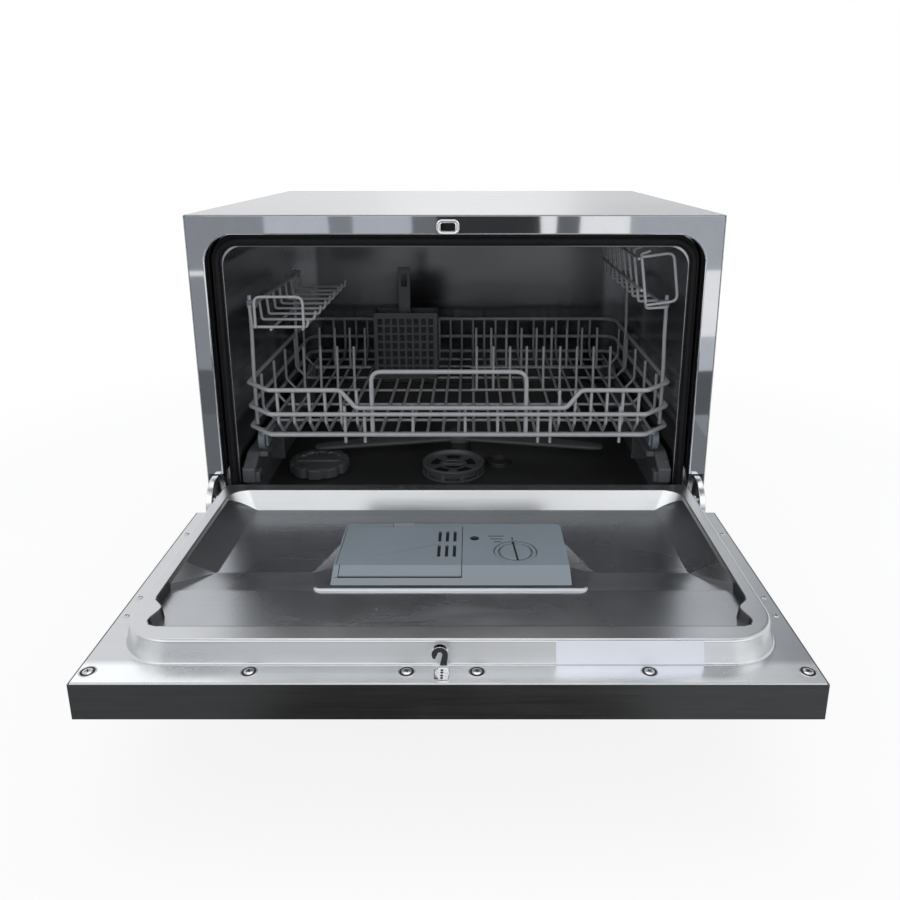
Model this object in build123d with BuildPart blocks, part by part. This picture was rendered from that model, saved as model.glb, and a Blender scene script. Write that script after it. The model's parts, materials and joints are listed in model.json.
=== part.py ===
from build123d import *
import os
from math import cos, radians, sin

# A countertop dishwasher with its door lowered, as an assembly of separate pieces.
#
# Millimetres, +Z up, +X to the right as seen from the front, +Y towards the back.
# The origin lies on the worktop, under the middle of the machine with its door lowered.
# In the code a depth is counted back from the cabinet's front face: positive into the
# cabinet, negative out over the lowered door. The helpers below add face_y to it.

os.makedirs("parts", exist_ok=True)

# ---- overall sizes ----
width = 550.0
height = 438.0
cabinet_depth = 480.0  # front face to the back of the rear cover
door_reach = 316.0  # front face to the far edge of the lowered door
face_y = (door_reach - cabinet_depth) / 2

# ---- sheet, walls and clearances ----
case_sheet = 1.0
frame_sheet = 1.2
tub_sheet = 1.2
door_sheet = 1.0
liner_sheet = 1.2
plastic_wall = 3.0
seat_gap = 0.3  # between a piece and what carries it
running_gap = 0.05  # radial, pin in its bore

# ---- feet, plinth and base ----
foot_height = 12.0
foot_radius = 18.0
foot_inset_x = 40.0
foot_inset_y = 45.0
wrap_bottom = 16.0
plinth_front = 4.0
plinth_top = 86.0
base_front = 24.0
base_back = 455.0
base_top = 88.7

# ---- front opening and tub ----
frame_leg_bottom = 155.5
opening_half = 257.0
opening_top = 417.5
opening_radius = 30.0
frame_return_depth = 24.0
tub_half = 249.0
tub_lip_half = 246.0
tub_top = 405.5
tub_lip_top = 402.5
tub_back = 446.0
tub_corner = 24.0
tub_wall_bottom = 100.0
floor_top = 92.0
basin_half = 248.7
basin_front = 24.5
basin_rim = 126.0
gasket_front = 16.6
rear_flange_back = 476.0

# ---- door ----
door_thickness = 30.0
flange_z = 129.7  # inner face of the lowered door
flange_gap = 1.5  # closed door's inner face to the cabinet's front face
# The hinge pin lies where the closed door ends up flush with the cabinet's top.
pivot_y = -(door_reach + flange_z + flange_gap - height) / 2
pivot_z = flange_z + flange_gap + pivot_y
skin_z = flange_z - door_thickness
wing_back = -42.0  # where the door's side flanges stop, in front of the hinge arms
toe_back = 18.0
toe_half = 258.0
ring_height = 17.5
ring_half = 255.3
ring_front = -287.3
ring_back = -6.0
ring_draft = 8.0
ring_radius = 27.0
liner_depth = 25.5
dish_half = 238.0
dish_front = -266.0
dish_crease = -206.0
dish_back = -21.0
dish_front_z = 138.0
dish_back_z = 125.0

# ---- dispenser, in the door's liner ----
disp_left = -105.0
disp_right = 103.5
disp_front = -201.0
disp_bevel = -180.0
disp_rear = -98.0
disp_top_rear = -102.0
disp_top = flange_z + ring_height
disp_split = 8.6
lid_thickness = 2.5
lid_hinge_y = -189.5
lid_rear = -107.6
cup_floor = 113.0

# ---- rack ----
rack_shift = 2.0  # play in its rails: it sits a little to the right
rack_front = 20.5
rack_back = 395.0
rack_half = 238.5
rack_corner = 30.0
hoop_wire = 5.0
floor_wire = 3.6
hoop_z = (194.0, 218.0, 246.0)
dip_z = 225.5
loop_z = 266.0
floor_z = 190.0
floor_half = 205.0
floor_front = 45.0
floor_back = 375.0
tine_top = 252.0
rail_top = 160.7
rail_width = 24.0
wheel_radius = 13.0
wheel_width = 8.0
wheel_offset = 229.0
wheel_front_y = 62.0
wheel_back_y = 345.0
axle_radius = 3.0

# ---- cup shelves ----
shelf_hinge_x = 226.0
shelf_hinge_z = 335.0
shelf_reach = 64.0
shelf_drop = 22.0
shelf_guard = 12.0
shelf_front = 40.0
shelf_back = 300.0
shelf_fold = 82.0

# ---- spray arm, filter and salt cap ----
spray_y = 236.0
spray_z = 112.0
spray_radius = 200.0
filter_x = -7.0
filter_y = 156.0
filter_radius = 41.0
salt_x = -184.0
salt_y = 161.0
salt_radius = 39.0

# ---- latch ----
latch_x = -7.0
latch_z = 425.6
hook_y = pivot_y - (latch_z - pivot_z)

# ---- controls on the door's outer face ----
fascia_front = -312.0
fascia_back = -258.0
fascia_half = 262.0
button_radius = 6.5
button_pitch = 30.0
button_count = 4
button_travel = 1.5


def front_plane(depth):
    """A plane facing the viewer: sketch x to the right, sketch y up."""
    return Plane(origin=(0, face_y + depth, 0), x_dir=(1, 0, 0), z_dir=(0, -1, 0))


def side_plane(x):
    """A plane facing +X: sketch x back from the face, sketch y up."""
    return Plane(origin=(x, face_y, 0), x_dir=(0, 1, 0), z_dir=(1, 0, 0))


def level(z):
    """A level plane: sketch x to the right, sketch y back from the face."""
    return Plane(origin=(0, face_y, z), x_dir=(1, 0, 0), z_dir=(0, 0, 1))


def block(xs, ys, zs, mode=Mode.ADD):
    """A block between two x, two depths and two heights, in the part being built."""
    middle = ((xs[0] + xs[1]) / 2, face_y + (ys[0] + ys[1]) / 2, (zs[0] + zs[1]) / 2)
    with Locations(middle):
        Box(xs[1] - xs[0], ys[1] - ys[0], zs[1] - zs[0], mode=mode)


def post(x, depth, zs, radius, mode=Mode.ADD):
    """An upright round post or hole between two heights."""
    with Locations((x, face_y + depth, (zs[0] + zs[1]) / 2)):
        Cylinder(radius, zs[1] - zs[0], mode=mode)


def wire(points, diameter, bend=8.0):
    """A round wire bent along points given as (x, depth, z)."""
    route = [(x, face_y + depth, z) for x, depth, z in points]
    with BuildPart(mode=Mode.PRIVATE) as rod:
        with BuildLine():
            if len(route) == 2:
                path = Line(*route)
            else:
                path = FilletPolyline(*route, radius=bend)
        with BuildSketch(Plane(origin=path @ 0, z_dir=path % 0)):
            Circle(diameter / 2)
        sweep()
    return rod.part


def dish_z(depth):
    """Height of the door's dished middle: level near the top edge, then sloping."""
    if depth < dish_crease:
        return dish_front_z
    share = (depth - dish_crease) / (dish_back - dish_crease)
    return dish_front_z + share * (dish_back_z - dish_front_z)


# ======================= cabinet: casing =======================

# Folded steel sheet over the top and both sides.
with BuildPart() as outer_wrap:
    with BuildSketch(front_plane(0)):
        with Locations((0, wrap_bottom)):
            Rectangle(width, height - wrap_bottom, align=(Align.CENTER, Align.MIN))
            Rectangle(
                width - 2 * case_sheet,
                height - case_sheet - wrap_bottom,
                align=(Align.CENTER, Align.MIN),
                mode=Mode.SUBTRACT,
            )
    extrude(amount=-rear_flange_back)
    folds = outer_wrap.edges().filter_by(Axis.Y).group_by(Axis.Z)
    fillet(folds[-1], 2 * case_sheet)
    fillet(outer_wrap.edges().filter_by(Axis.Y).filter_by_position(
        Axis.Z, height - case_sheet - 0.1, height - case_sheet + 0.1), case_sheet)
outer_wrap.part.label = "outer_wrap"
export_step(outer_wrap.part, "parts/outer_wrap.step")

# Polished front frame: an upside-down U whose opening is rolled back into the cabinet.
frame_half = width / 2 - case_sheet - 0.2
frame_top = height - case_sheet - 0.2


def opening_outline(grow, bottom):
    """The front opening, open downwards, grown by an amount."""
    top = opening_top + grow
    with BuildSketch(Plane.XY, mode=Mode.PRIVATE) as outline:
        with Locations((0, bottom)):
            Rectangle(2 * (opening_half + grow), top - bottom, align=(Align.CENTER, Align.MIN))
        fillet(outline.vertices().group_by(Axis.Y)[-1], opening_radius + grow)
    return outline.sketch


with BuildPart() as front_frame:
    with BuildSketch(front_plane(0)) as face:
        with Locations((0, frame_leg_bottom)):
            Rectangle(2 * frame_half, frame_top - frame_leg_bottom, align=(Align.CENTER, Align.MIN))
        fillet(face.vertices().group_by(Axis.Y)[-1], 1.6)
        add(opening_outline(0, frame_leg_bottom - 1), mode=Mode.SUBTRACT)
        with Locations((latch_x, latch_z)):
            RectangleRounded(20.4, 11.4, 4.2, mode=Mode.SUBTRACT)
    extrude(amount=-frame_sheet)
    with BuildSketch(front_plane(frame_sheet)):
        add(opening_outline(frame_sheet, frame_leg_bottom))
        add(opening_outline(0, frame_leg_bottom - 1), mode=Mode.SUBTRACT)
    extrude(amount=-(frame_return_depth - frame_sheet))
    with BuildSketch(front_plane(frame_sheet)):
        for side in (-1, 1):
            with Locations((side * (frame_half - frame_sheet / 2), frame_leg_bottom)):
                Rectangle(frame_sheet, frame_top - 2 - frame_leg_bottom, align=(Align.CENTER, Align.MIN))
    extrude(amount=-(frame_return_depth - frame_sheet))
front_frame.part.label = "front_frame"
export_step(front_frame.part, "parts/front_frame.step")

# Chrome bezel pressed into the latch slot.
bezel_depth = 3.0
bezel_proud = 0.5
with BuildPart() as latch_bezel:
    with BuildSketch(front_plane(-bezel_proud)):
        with Locations((latch_x, latch_z)):
            RectangleRounded(23, 14, 5)
    extrude(amount=-bezel_proud)
    with BuildSketch(front_plane(0)):
        with Locations((latch_x, latch_z)):
            RectangleRounded(19.8, 10.8, 3.9)
    extrude(amount=-bezel_depth)
    with BuildSketch(front_plane(-bezel_proud)):
        with Locations((latch_x, latch_z)):
            RectangleRounded(17, 8.4, 3)
    extrude(amount=-bezel_depth - 1, mode=Mode.SUBTRACT)
latch_bezel.part.label = "latch_bezel"
export_step(latch_bezel.part, "parts/latch_bezel.step")

# Housing behind the bezel that guides the catch.
with BuildPart() as latch_housing:
    block((latch_x - 40, latch_x + 14), (frame_sheet, 23.6), (latch_z - 6.6, latch_z + 8.4))
    block((latch_x - 38.5, latch_x + 12.5), (frame_sheet - 1, 22.1), (latch_z - 5.8, latch_z + 7), Mode.SUBTRACT)
latch_housing.part.label = "latch_housing"
export_step(latch_housing.part, "parts/latch_housing.step")

# Sprung catch that slides under the hook's tip.
with BuildPart() as latch_catch:
    block((latch_x - 36, latch_x - 9), (4.4, 10.4), (latch_z - 5.8 + seat_gap, latch_z + 4))
    nose = latch_catch.edges().filter_by(Axis.Z).group_by(Axis.X)[-1]
    fillet(nose, 2)
latch_catch.part.label = "latch_catch"
export_step(latch_catch.part, "parts/latch_catch.step")

# Rear cover: a flat sheet with a pressed-out middle and rows of vents.
cover_back = cabinet_depth
with BuildPart() as rear_panel:
    block((-frame_half, frame_half), (rear_flange_back - case_sheet, rear_flange_back), (base_top + 12, frame_top))
    fillet(rear_panel.edges().filter_by(Axis.Y).group_by(Axis.Z)[-1], 1.6)
    block((-215, 215), (rear_flange_back - 0.5, cover_back), (130, 400))
    block((-215 + case_sheet, 215 - case_sheet),
          (rear_flange_back - case_sheet - 1, cover_back - case_sheet), (130 + case_sheet, 400 - case_sheet),
          Mode.SUBTRACT)
    with Locations((0, face_y + cover_back, 265)):
        for row in range(6):
            with Locations((-110, 0, row * 14 - 35), (110, 0, row * 14 - 35)):
                Box(120, 6, 4, mode=Mode.SUBTRACT)
rear_panel.part.label = "rear_panel"
export_step(rear_panel.part, "parts/rear_panel.step")

# ======================= cabinet: base =======================

foot_x = width / 2 - foot_inset_x
with BuildPart() as feet:
    for x in (-foot_x, foot_x):
        for depth in (foot_inset_y + 15, base_back - foot_inset_y):
            post(x, depth, (0, foot_height - seat_gap), foot_radius)
    fillet(feet.faces().group_by(Axis.Z)[0].edges(), 2)
feet.part.label = "feet"
export_step(feet.part, "parts/feet.step")

base_half = width / 2 - case_sheet - seat_gap
tray_top = foot_height + plastic_wall
inlet_x, inlet_z = -190.0, 58.0
spigot_x, spigot_z = -128.0, 46.0
gland_x, gland_z = 178.0, 56.0
with BuildPart() as base_tray:
    block((-base_half, base_half), (base_front, base_back), (foot_height, base_top))
    block((-base_half + plastic_wall, base_half - plastic_wall),
          (base_front + plastic_wall, base_back - plastic_wall),
          (tray_top, base_top + 1), Mode.SUBTRACT)
    for side in (-1, 1):
        inner, outer = sorted((side * (base_half - 14), side * base_half))
        block((inner, outer), (base_front, base_front + plastic_wall), (base_top - 1, 112))
    for x, z, radius in ((inlet_x, inlet_z, 14.2), (spigot_x, spigot_z, 10.4), (gland_x, gland_z, 9.4)):
        with Locations((x, face_y + base_back - plastic_wall / 2, z)):
            with Locations(Rotation(90, 0, 0)):
                Cylinder(radius, 3 * plastic_wall, mode=Mode.SUBTRACT)
base_tray.part.label = "base_tray"
export_step(base_tray.part, "parts/base_tray.step")

# Plinth below the door.
with BuildPart() as plinth:
    block((-frame_half, frame_half), (plinth_front, base_front), (wrap_bottom - 2, plinth_top))
    block((-frame_half + 2.5, frame_half - 2.5), (plinth_front + 2.5, base_front + 1),
          (wrap_bottom + 0.5, plinth_top - 2.5), Mode.SUBTRACT)
    fillet(plinth.edges().filter_by(Axis.X).group_by(Axis.Y)[0], 1.5)
plinth.part.label = "plinth"
export_step(plinth.part, "parts/plinth.step")

# ======================= cabinet: tub =======================


def tub_outline(half, top, bottom, corner):
    """A doorway shape, open downwards, with rounded top corners."""
    with BuildSketch(Plane.XY, mode=Mode.PRIVATE) as outline:
        with Locations((0, bottom)):
            Rectangle(2 * half, top - bottom, align=(Align.CENTER, Align.MIN))
        fillet(outline.vertices().group_by(Axis.Y)[-1], corner)
    return outline.sketch


with BuildPart() as tub:
    with BuildSketch(front_plane(frame_return_depth)):
        add(tub_outline(tub_half + tub_sheet, tub_top + tub_sheet, tub_wall_bottom, tub_corner + tub_sheet))
    extrude(amount=-(tub_back + tub_sheet - frame_return_depth))
    with BuildSketch(front_plane(frame_return_depth)):
        add(tub_outline(tub_half, tub_top, tub_wall_bottom - 1, tub_corner))
    extrude(amount=-(tub_back - frame_return_depth), mode=Mode.SUBTRACT)
    with BuildSketch(front_plane(frame_return_depth)):
        add(tub_outline(opening_half + 6, opening_top + 6, basin_rim + 2, opening_radius + 6))
        add(tub_outline(tub_lip_half, tub_lip_top, basin_rim - 2, tub_corner - 3), mode=Mode.SUBTRACT)
    extrude(amount=-tub_sheet)
tub.part.label = "tub"
export_step(tub.part, "parts/tub.step")

# Rubber gasket in the channel around the opening.
with BuildPart() as door_gasket:
    with BuildSketch(front_plane(gasket_front)):
        add(tub_outline(opening_half - seat_gap, opening_top - seat_gap, basin_rim + 2.3, opening_radius - seat_gap))
        add(tub_outline(tub_lip_half + 1.5, tub_lip_top + 1.5, basin_rim, tub_corner - 1.5), mode=Mode.SUBTRACT)
    extrude(amount=-(frame_return_depth - seat_gap - gasket_front))
door_gasket.part.label = "door_gasket"
export_step(door_gasket.part, "parts/door_gasket.step")

# Plastic floor basin with wells for the filter, spray post and salt neck.
well_radius = filter_radius - 6
post_radius = 15.0
neck_radius = salt_radius - 7
with BuildPart() as tub_floor:
    block((-basin_half, basin_half), (basin_front, tub_back - seat_gap), (floor_top - plastic_wall, basin_rim))
    block((-basin_half + plastic_wall, basin_half - plastic_wall),
          (basin_front + plastic_wall, tub_back - seat_gap - plastic_wall), (floor_top, basin_rim + 1), Mode.SUBTRACT)
    fillet(tub_floor.edges().filter_by(Axis.Z), 6)
    post(filter_x, filter_y, (floor_top - 10, floor_top + 1), well_radius, Mode.SUBTRACT)
    post(0, spray_y, (floor_top - 10, floor_top + 1), post_radius + seat_gap, Mode.SUBTRACT)
    post(salt_x, salt_y, (floor_top - 10, floor_top + 1), neck_radius + seat_gap, Mode.SUBTRACT)
    post(54, 184, (floor_top - 0.5, floor_top + 5), 16.5)
    post(54, 184, (floor_top, floor_top + 6), 13.5, Mode.SUBTRACT)
tub_floor.part.label = "tub_floor"
export_step(tub_floor.part, "parts/tub_floor.step")

# Soft lip along the bottom of the opening.
with BuildPart() as lower_seal:
    block((-tub_lip_half + 2, tub_lip_half - 2), (gasket_front, basin_front - seat_gap), (113, basin_rim))
    fillet(lower_seal.edges().filter_by(Axis.X).group_by(Axis.Y)[0].sort_by(Axis.Z)[-1], 2.5)
lower_seal.part.label = "lower_seal"
export_step(lower_seal.part, "parts/lower_seal.step")


def rack_rail(side):
    """A ledge on the tub's side wall with a stop block at its front."""
    outer = basin_half - plastic_wall - seat_gap
    with BuildPart() as rail:
        block(sorted((side * (outer - rail_width), side * outer)), (30, 420), (rail_top - 6, rail_top))
        block(sorted((side * (outer - 5), side * outer)), (36, 420), (floor_top + seat_gap, rail_top - 3))
        block(sorted((side * (outer - rail_width), side * outer)), (28, 40), (132, rail_top - 3))
        block(sorted((side * (outer - rail_width - 9), side * (outer - rail_width + 2))), (31, 44), (132, 146))
        for depth in (130, 230, 330):
            block(sorted((side * (outer - rail_width), side * outer)), (depth, depth + 4), (120, rail_top - 3))
    return rail.part


for name, side in (("rail_left", -1), ("rail_right", 1)):
    rail_part = rack_rail(side)
    rail_part.label = name
    export_step(rail_part, f"parts/{name}.step")

# ======================= cabinet: water works =======================

sump_bottom = 30.0
with BuildPart() as sump:
    post(filter_x, filter_y, (sump_bottom, floor_top - plastic_wall - seat_gap), well_radius + 6)
    post(filter_x, filter_y, (sump_bottom + plastic_wall, floor_top), well_radius + 3, Mode.SUBTRACT)
    chamfer(sump.faces().group_by(Axis.Z)[0].edges(), 4)
    block((filter_x - 14, filter_x + 14), (filter_y + well_radius + 4, filter_y + well_radius + 16), (38, 62))
sump.part.label = "sump"
export_step(sump.part, "parts/sump.step")

# Wash pump lying across the base, with its riser up to the spray arm.
with BuildPart() as wash_pump:
    with Locations((42, face_y + spray_y + 24, 50)):
        with Locations(Rotation(0, 90, 0)):
            Cylinder(32, 30)
            with Locations((0, 0, 55)):
                Cylinder(26, 84)
    post(0, spray_y, (40, floor_top - plastic_wall - 1 - seat_gap), 12)
    block((-12, 40), (spray_y - 8, spray_y + 20), (36, 60))
    block((34, 50), (spray_y + 8, spray_y + 40), (tray_top + seat_gap, 30))
    block((100, 120), (spray_y + 10, spray_y + 38), (tray_top + seat_gap, 34))
wash_pump.part.label = "wash_pump"
export_step(wash_pump.part, "parts/wash_pump.step")

with BuildPart() as drain_pump:
    with Locations((-78, face_y + 235, 42)):
        with Locations(Rotation(90, 0, 0)):
            Cylinder(22, 26)
            with Locations((0, 0, -30)):
                Cylinder(17, 40)
    block((-62, -52), (225, 245), (34, 50))
    block((-90, -66), (226, 244), (tray_top + seat_gap, 30))
drain_pump.part.label = "drain_pump"
export_step(drain_pump.part, "parts/drain_pump.step")

# Flow heater between sump and pump.
with BuildPart() as heater:
    with Locations((92, face_y + 165, 48)):
        with Locations(Rotation(90, 0, 0)):
            Cylinder(20, 78)
            Cylinder(23, 8)
    block((66, 76), (158, 172), (42, 54))
    block((82, 102), (140, 190), (tray_top + seat_gap, 36))
heater.part.label = "heater"
export_step(heater.part, "parts/heater.step")

# Softener tank with its filler neck, which the salt cap closes.
with BuildPart() as softener:
    block((salt_x - 45, salt_x + 45), (salt_y - 42, salt_y + 82), (tray_top + seat_gap, 78))
    fillet(softener.edges().filter_by(Axis.Z), 10)
    post(salt_x, salt_y, (77, floor_top + 1.5), neck_radius)
    post(salt_x, salt_y, (30, floor_top + 2), neck_radius - plastic_wall, Mode.SUBTRACT)
softener.part.label = "softener"
export_step(softener.part, "parts/softener.step")

# Flat air breaker between the tub and the casing.
with BuildPart() as air_breaker:
    block((tub_half + tub_sheet + seat_gap, tub_half + tub_sheet + 19), (150, 330), (130, 360))
    fillet(air_breaker.edges().filter_by(Axis.X), 15)
air_breaker.part.label = "air_breaker"
export_step(air_breaker.part, "parts/air_breaker.step")

thread_radius = 13.2  # 3/4 inch hose thread
with BuildPart() as inlet_valve:
    with Locations((inlet_x, face_y + base_back - 20, inlet_z)):
        Box(44, 34, 40)
    with Locations((inlet_x, face_y + base_back + 9, inlet_z)):
        with Locations(Rotation(90, 0, 0)):
            Cylinder(thread_radius, 26)
            Cylinder(8, 60, mode=Mode.SUBTRACT)
inlet_valve.part.label = "inlet_valve"
export_step(inlet_valve.part, "parts/inlet_valve.step")

spigot_radius = 9.5
with BuildPart() as drain_spigot:
    with Locations((spigot_x, face_y + base_back + 4, spigot_z)):
        with Locations(Rotation(90, 0, 0)):
            Cylinder(spigot_radius, 36)
            with Locations((0, 0, 13)):
                Cylinder(14, 8)
            Cylinder(spigot_radius - 2, 40, mode=Mode.SUBTRACT)
drain_spigot.part.label = "drain_spigot"
export_step(drain_spigot.part, "parts/drain_spigot.step")

with BuildPart() as cable_gland:
    with Locations((gland_x, face_y + base_back + 2, gland_z)):
        with Locations(Rotation(90, 0, 0)):
            Cylinder(9.1, 20)
            with Locations((0, 0, -5)):
                Cylinder(12.5, 5.6)
            Cylinder(4.2, 24, mode=Mode.SUBTRACT)
cable_gland.part.label = "cable_gland"
export_step(cable_gland.part, "parts/cable_gland.step")

# Post that the spray arm turns on.
arm_bore = 6.0
with BuildPart() as spray_post:
    post(0, spray_y, (floor_top - plastic_wall - 1, spray_z - 6), post_radius)
    post(0, spray_y, (spray_z - 7, spray_z + 9), arm_bore - running_gap)
    chamfer(spray_post.edges().filter_by(GeomType.CIRCLE).group_by(Axis.Z)[-1], 1)
spray_post.part.label = "spray_post"
export_step(spray_post.part, "parts/spray_post.step")

# ======================= tub floor pieces that turn =======================

blade_thick = 8.0
blade_bend = 13.0
with BuildPart() as spray_arm:
    post(0, spray_y, (spray_z - 6 + seat_gap, spray_z + 7), 21)
    for start in (180 + blade_bend, 360 - blade_bend):
        with BuildSketch(level(spray_z - blade_thick / 2)):
            with Locations((0, spray_y)):
                with Locations(Rotation(0, 0, start)):
                    with Locations((spray_radius / 2, 0)):
                        Trapezoid(34, spray_radius, 88, rotation=-90)
        extrude(amount=blade_thick)
    post(0, spray_y, (spray_z - 20, spray_z + 20), arm_bore, Mode.SUBTRACT)
    for start in (180 + blade_bend, 360 - blade_bend):
        for reach in (60, 95, 130, 165, 188):
            x = reach * cos(radians(start))
            depth = spray_y + reach * sin(radians(start))
            post(x, depth, (spray_z + 1, spray_z + 5), 1.6, Mode.SUBTRACT)
spray_arm.part.label = "spray_arm"
export_step(spray_arm.part, "parts/spray_arm.step")

# Filter: a slotted collar with a funnel inside it, and its cage below in the sump.
cage_radius = well_radius - 1.5
collar_top = floor_top + 15
with BuildPart() as filter_unit:
    post(filter_x, filter_y, (floor_top + seat_gap, collar_top - 2), filter_radius - 1.5)
    post(filter_x, filter_y, (floor_top + seat_gap, floor_top + 2), filter_radius)
    post(filter_x, filter_y, (collar_top - 4, collar_top), filter_radius - 0.5)
    post(filter_x, filter_y, (floor_top - 2, collar_top + 1), filter_radius - 4, Mode.SUBTRACT)
    for height in (floor_top + 4.4, floor_top + 8.6):
        with Locations((filter_x, face_y + filter_y, height)):
            with PolarLocations(filter_radius - 3, 10, start_angle=18):
                Box(10, 18, 2.8, mode=Mode.SUBTRACT)
    post(filter_x, filter_y, (floor_top - 34, collar_top - 5), cage_radius)
    post(filter_x, filter_y, (collar_top - 7, collar_top - 5), filter_radius - 3)
    post(filter_x, filter_y, (floor_top - 31, collar_top - 8), cage_radius - 2.5, Mode.SUBTRACT)
    post(filter_x, filter_y, (collar_top - 9, collar_top + 1), 13, Mode.SUBTRACT)
    with Locations((filter_x, face_y + filter_y, collar_top - 6)):
        with PolarLocations(23, 5, start_angle=90):
            Box(9, 17, 8, mode=Mode.SUBTRACT)
    with Locations((filter_x, face_y + filter_y, floor_top - 15)):
        with PolarLocations(cage_radius, 12):
            Box(8, 10, 20, mode=Mode.SUBTRACT)
    block((filter_x - 14, filter_x + 14), (filter_y - 2, filter_y + 2), (collar_top - 8, collar_top - 3))
filter_unit.part.label = "filter_unit"
export_step(filter_unit.part, "parts/filter_unit.step")

with BuildPart() as salt_cap:
    post(salt_x, salt_y, (floor_top + 1.8, floor_top + 15), salt_radius)
    with Locations((salt_x, face_y + salt_y, floor_top + 8)):
        with PolarLocations(salt_radius + 3, 10):
            Cylinder(6.5, 14, mode=Mode.SUBTRACT)
    block((salt_x - 24, salt_x + 24), (salt_y - 4, salt_y + 4), (floor_top + 12, floor_top + 16), Mode.SUBTRACT)
salt_cap.part.label = "salt_cap"
export_step(salt_cap.part, "parts/salt_cap.step")

# ======================= hinges =======================

arm_face = 262.0  # inner side of the hinge arms
arm_width = 6.6
ear_face = 269.2
ear_thick = 2.8
arm_inner = 24.5
arm_outer = 28.0
pin_radius = 3.0


def hinge_arm(side):
    """Curved arm around the pin, its foot on the door, with an eye that turns on the pin."""
    foot = wing_back - pivot_y
    with BuildPart() as arm:
        with BuildSketch(side_plane(side * arm_face)):
            with Locations((pivot_y, pivot_z)):
                Circle(arm_outer)
                Circle(arm_inner, mode=Mode.SUBTRACT)
                with Locations((40, -34), (-40, -37)):
                    Rectangle(90, 60, mode=Mode.SUBTRACT)
                Polygon((foot, -18), (foot + 2.5, -18), (foot + 2.5, -9), (-arm_inner, -7), (-arm_inner, -1),
                        (foot + 2.5, 0), (foot + 2.5, 1.4), (foot, 1.4), align=None)
        extrude(amount=side * arm_width)
        with BuildSketch(side_plane(side * arm_face)):
            with Locations((pivot_y, pivot_z)):
                Circle(6.5)
                with Locations((foot / 2, -3.5)):
                    Rectangle(-foot, 6)
                Circle(pin_radius + running_gap, mode=Mode.SUBTRACT)
        extrude(amount=side * 2.6)
    return arm.part


def hinge_bracket(side):
    """Ear and pin that stand out from the base's front wall."""
    with BuildPart() as bracket:
        with BuildSketch(side_plane(side * ear_face)):
            with Locations((pivot_y, pivot_z)):
                Circle(6)
                with Locations((0, -18)):
                    Rectangle(12, 36)
            with Locations(((pivot_y - 6 + base_front) / 2, pivot_z - 33)):
                Rectangle(base_front - pivot_y + 6, 10)
        extrude(amount=side * ear_thick)
        with BuildSketch(side_plane(side * (arm_face - 1))):
            with Locations((pivot_y, pivot_z)):
                Circle(pin_radius)
        extrude(amount=side * (ear_face - arm_face + 2))
    return bracket.part


for name, side in (("hinge_arm_left", -1), ("hinge_arm_right", 1)):
    arm_part = hinge_arm(side)
    arm_part.label = name
    export_step(arm_part, f"parts/{name}.step")
for name, side in (("hinge_bracket_left", -1), ("hinge_bracket_right", 1)):
    bracket_part = hinge_bracket(side)
    bracket_part.label = name
    export_step(bracket_part, f"parts/{name}.step")

# ======================= door =======================

# Outer pan: skin below, walls on three sides, and a toe that covers the gap when closed.
with BuildPart() as door_outer_panel:
    block((-width / 2, width / 2), (-door_reach, pivot_y - 10), (skin_z, skin_z + door_sheet))
    block((-toe_half, toe_half), (pivot_y - 11, toe_back), (skin_z, skin_z + door_sheet))
    block((-width / 2, width / 2), (-door_reach, -door_reach + door_sheet), (skin_z, flange_z))
    for side in (-1, 1):
        wall = sorted((side * (width / 2 - door_sheet), side * width / 2))
        block(wall, (-door_reach, wing_back), (skin_z, flange_z))
        block(wall, (wing_back - 1, pivot_y - 10), (skin_z, skin_z + 12))
    block((-fascia_half, fascia_half), (fascia_front, fascia_back), (skin_z - 1, skin_z + 2), Mode.SUBTRACT)
door_outer_panel.part.label = "door_outer_panel"
export_step(door_outer_panel.part, "parts/door_outer_panel.step")


# Inner liner: flange, raised ring and dish, one pressed sheet with a skirt.
liner_bottom = flange_z - liner_depth
liner_half = width / 2 - door_sheet - seat_gap


def liner_form(inset, bottom):
    """The liner's outside with every face moved inwards by an amount."""
    half = ring_half - inset
    front = ring_front + inset
    back = ring_back - inset
    with BuildPart(mode=Mode.PRIVATE) as form:
        block((-liner_half + inset, liner_half - inset),
              (-door_reach + door_sheet + seat_gap + inset, wing_back - inset), (bottom, flange_z - inset))
        block((-half + 2, half - 2), (wing_back - inset - 5, back), (bottom, flange_z - inset))
        with BuildSketch(level(flange_z - inset)) as foot:
            with Locations((0, (front + back) / 2)):
                Rectangle(2 * half, back - front)
            fillet(foot.vertices().group_by(Axis.Y)[0], ring_radius)
            fillet(foot.vertices().group_by(Axis.Y)[-1], 10)
        extrude(amount=ring_height, taper=ring_draft)
        with BuildSketch(side_plane(-dish_half - inset)):
            Polygon(
                (dish_front - inset, dish_front_z - inset), (dish_crease, dish_front_z - inset),
                (dish_back + inset, dish_back_z - inset), (dish_back + inset, 200), (dish_front - inset, 200),
                align=None,
            )
        extrude(amount=2 * (dish_half + inset), mode=Mode.SUBTRACT)
    return form.part


disp_hole = ((disp_left + 5, disp_right - 5), (disp_front + 9, disp_rear - 8))
with BuildPart() as door_inner_liner:
    add(liner_form(0, liner_bottom))
    add(liner_form(liner_sheet, liner_bottom - 1), mode=Mode.SUBTRACT)
    block(*disp_hole, (liner_bottom - 5, 200), Mode.SUBTRACT)
door_inner_liner.part.label = "door_inner_liner"
export_step(door_inner_liner.part, "parts/door_inner_liner.step")

with BuildPart() as door_insulation:
    block((-250, 250), (fascia_back + 8, -20), (skin_z + door_sheet, liner_bottom - seat_gap))
door_insulation.part.label = "door_insulation"
export_step(door_insulation.part, "parts/door_insulation.step")

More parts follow.
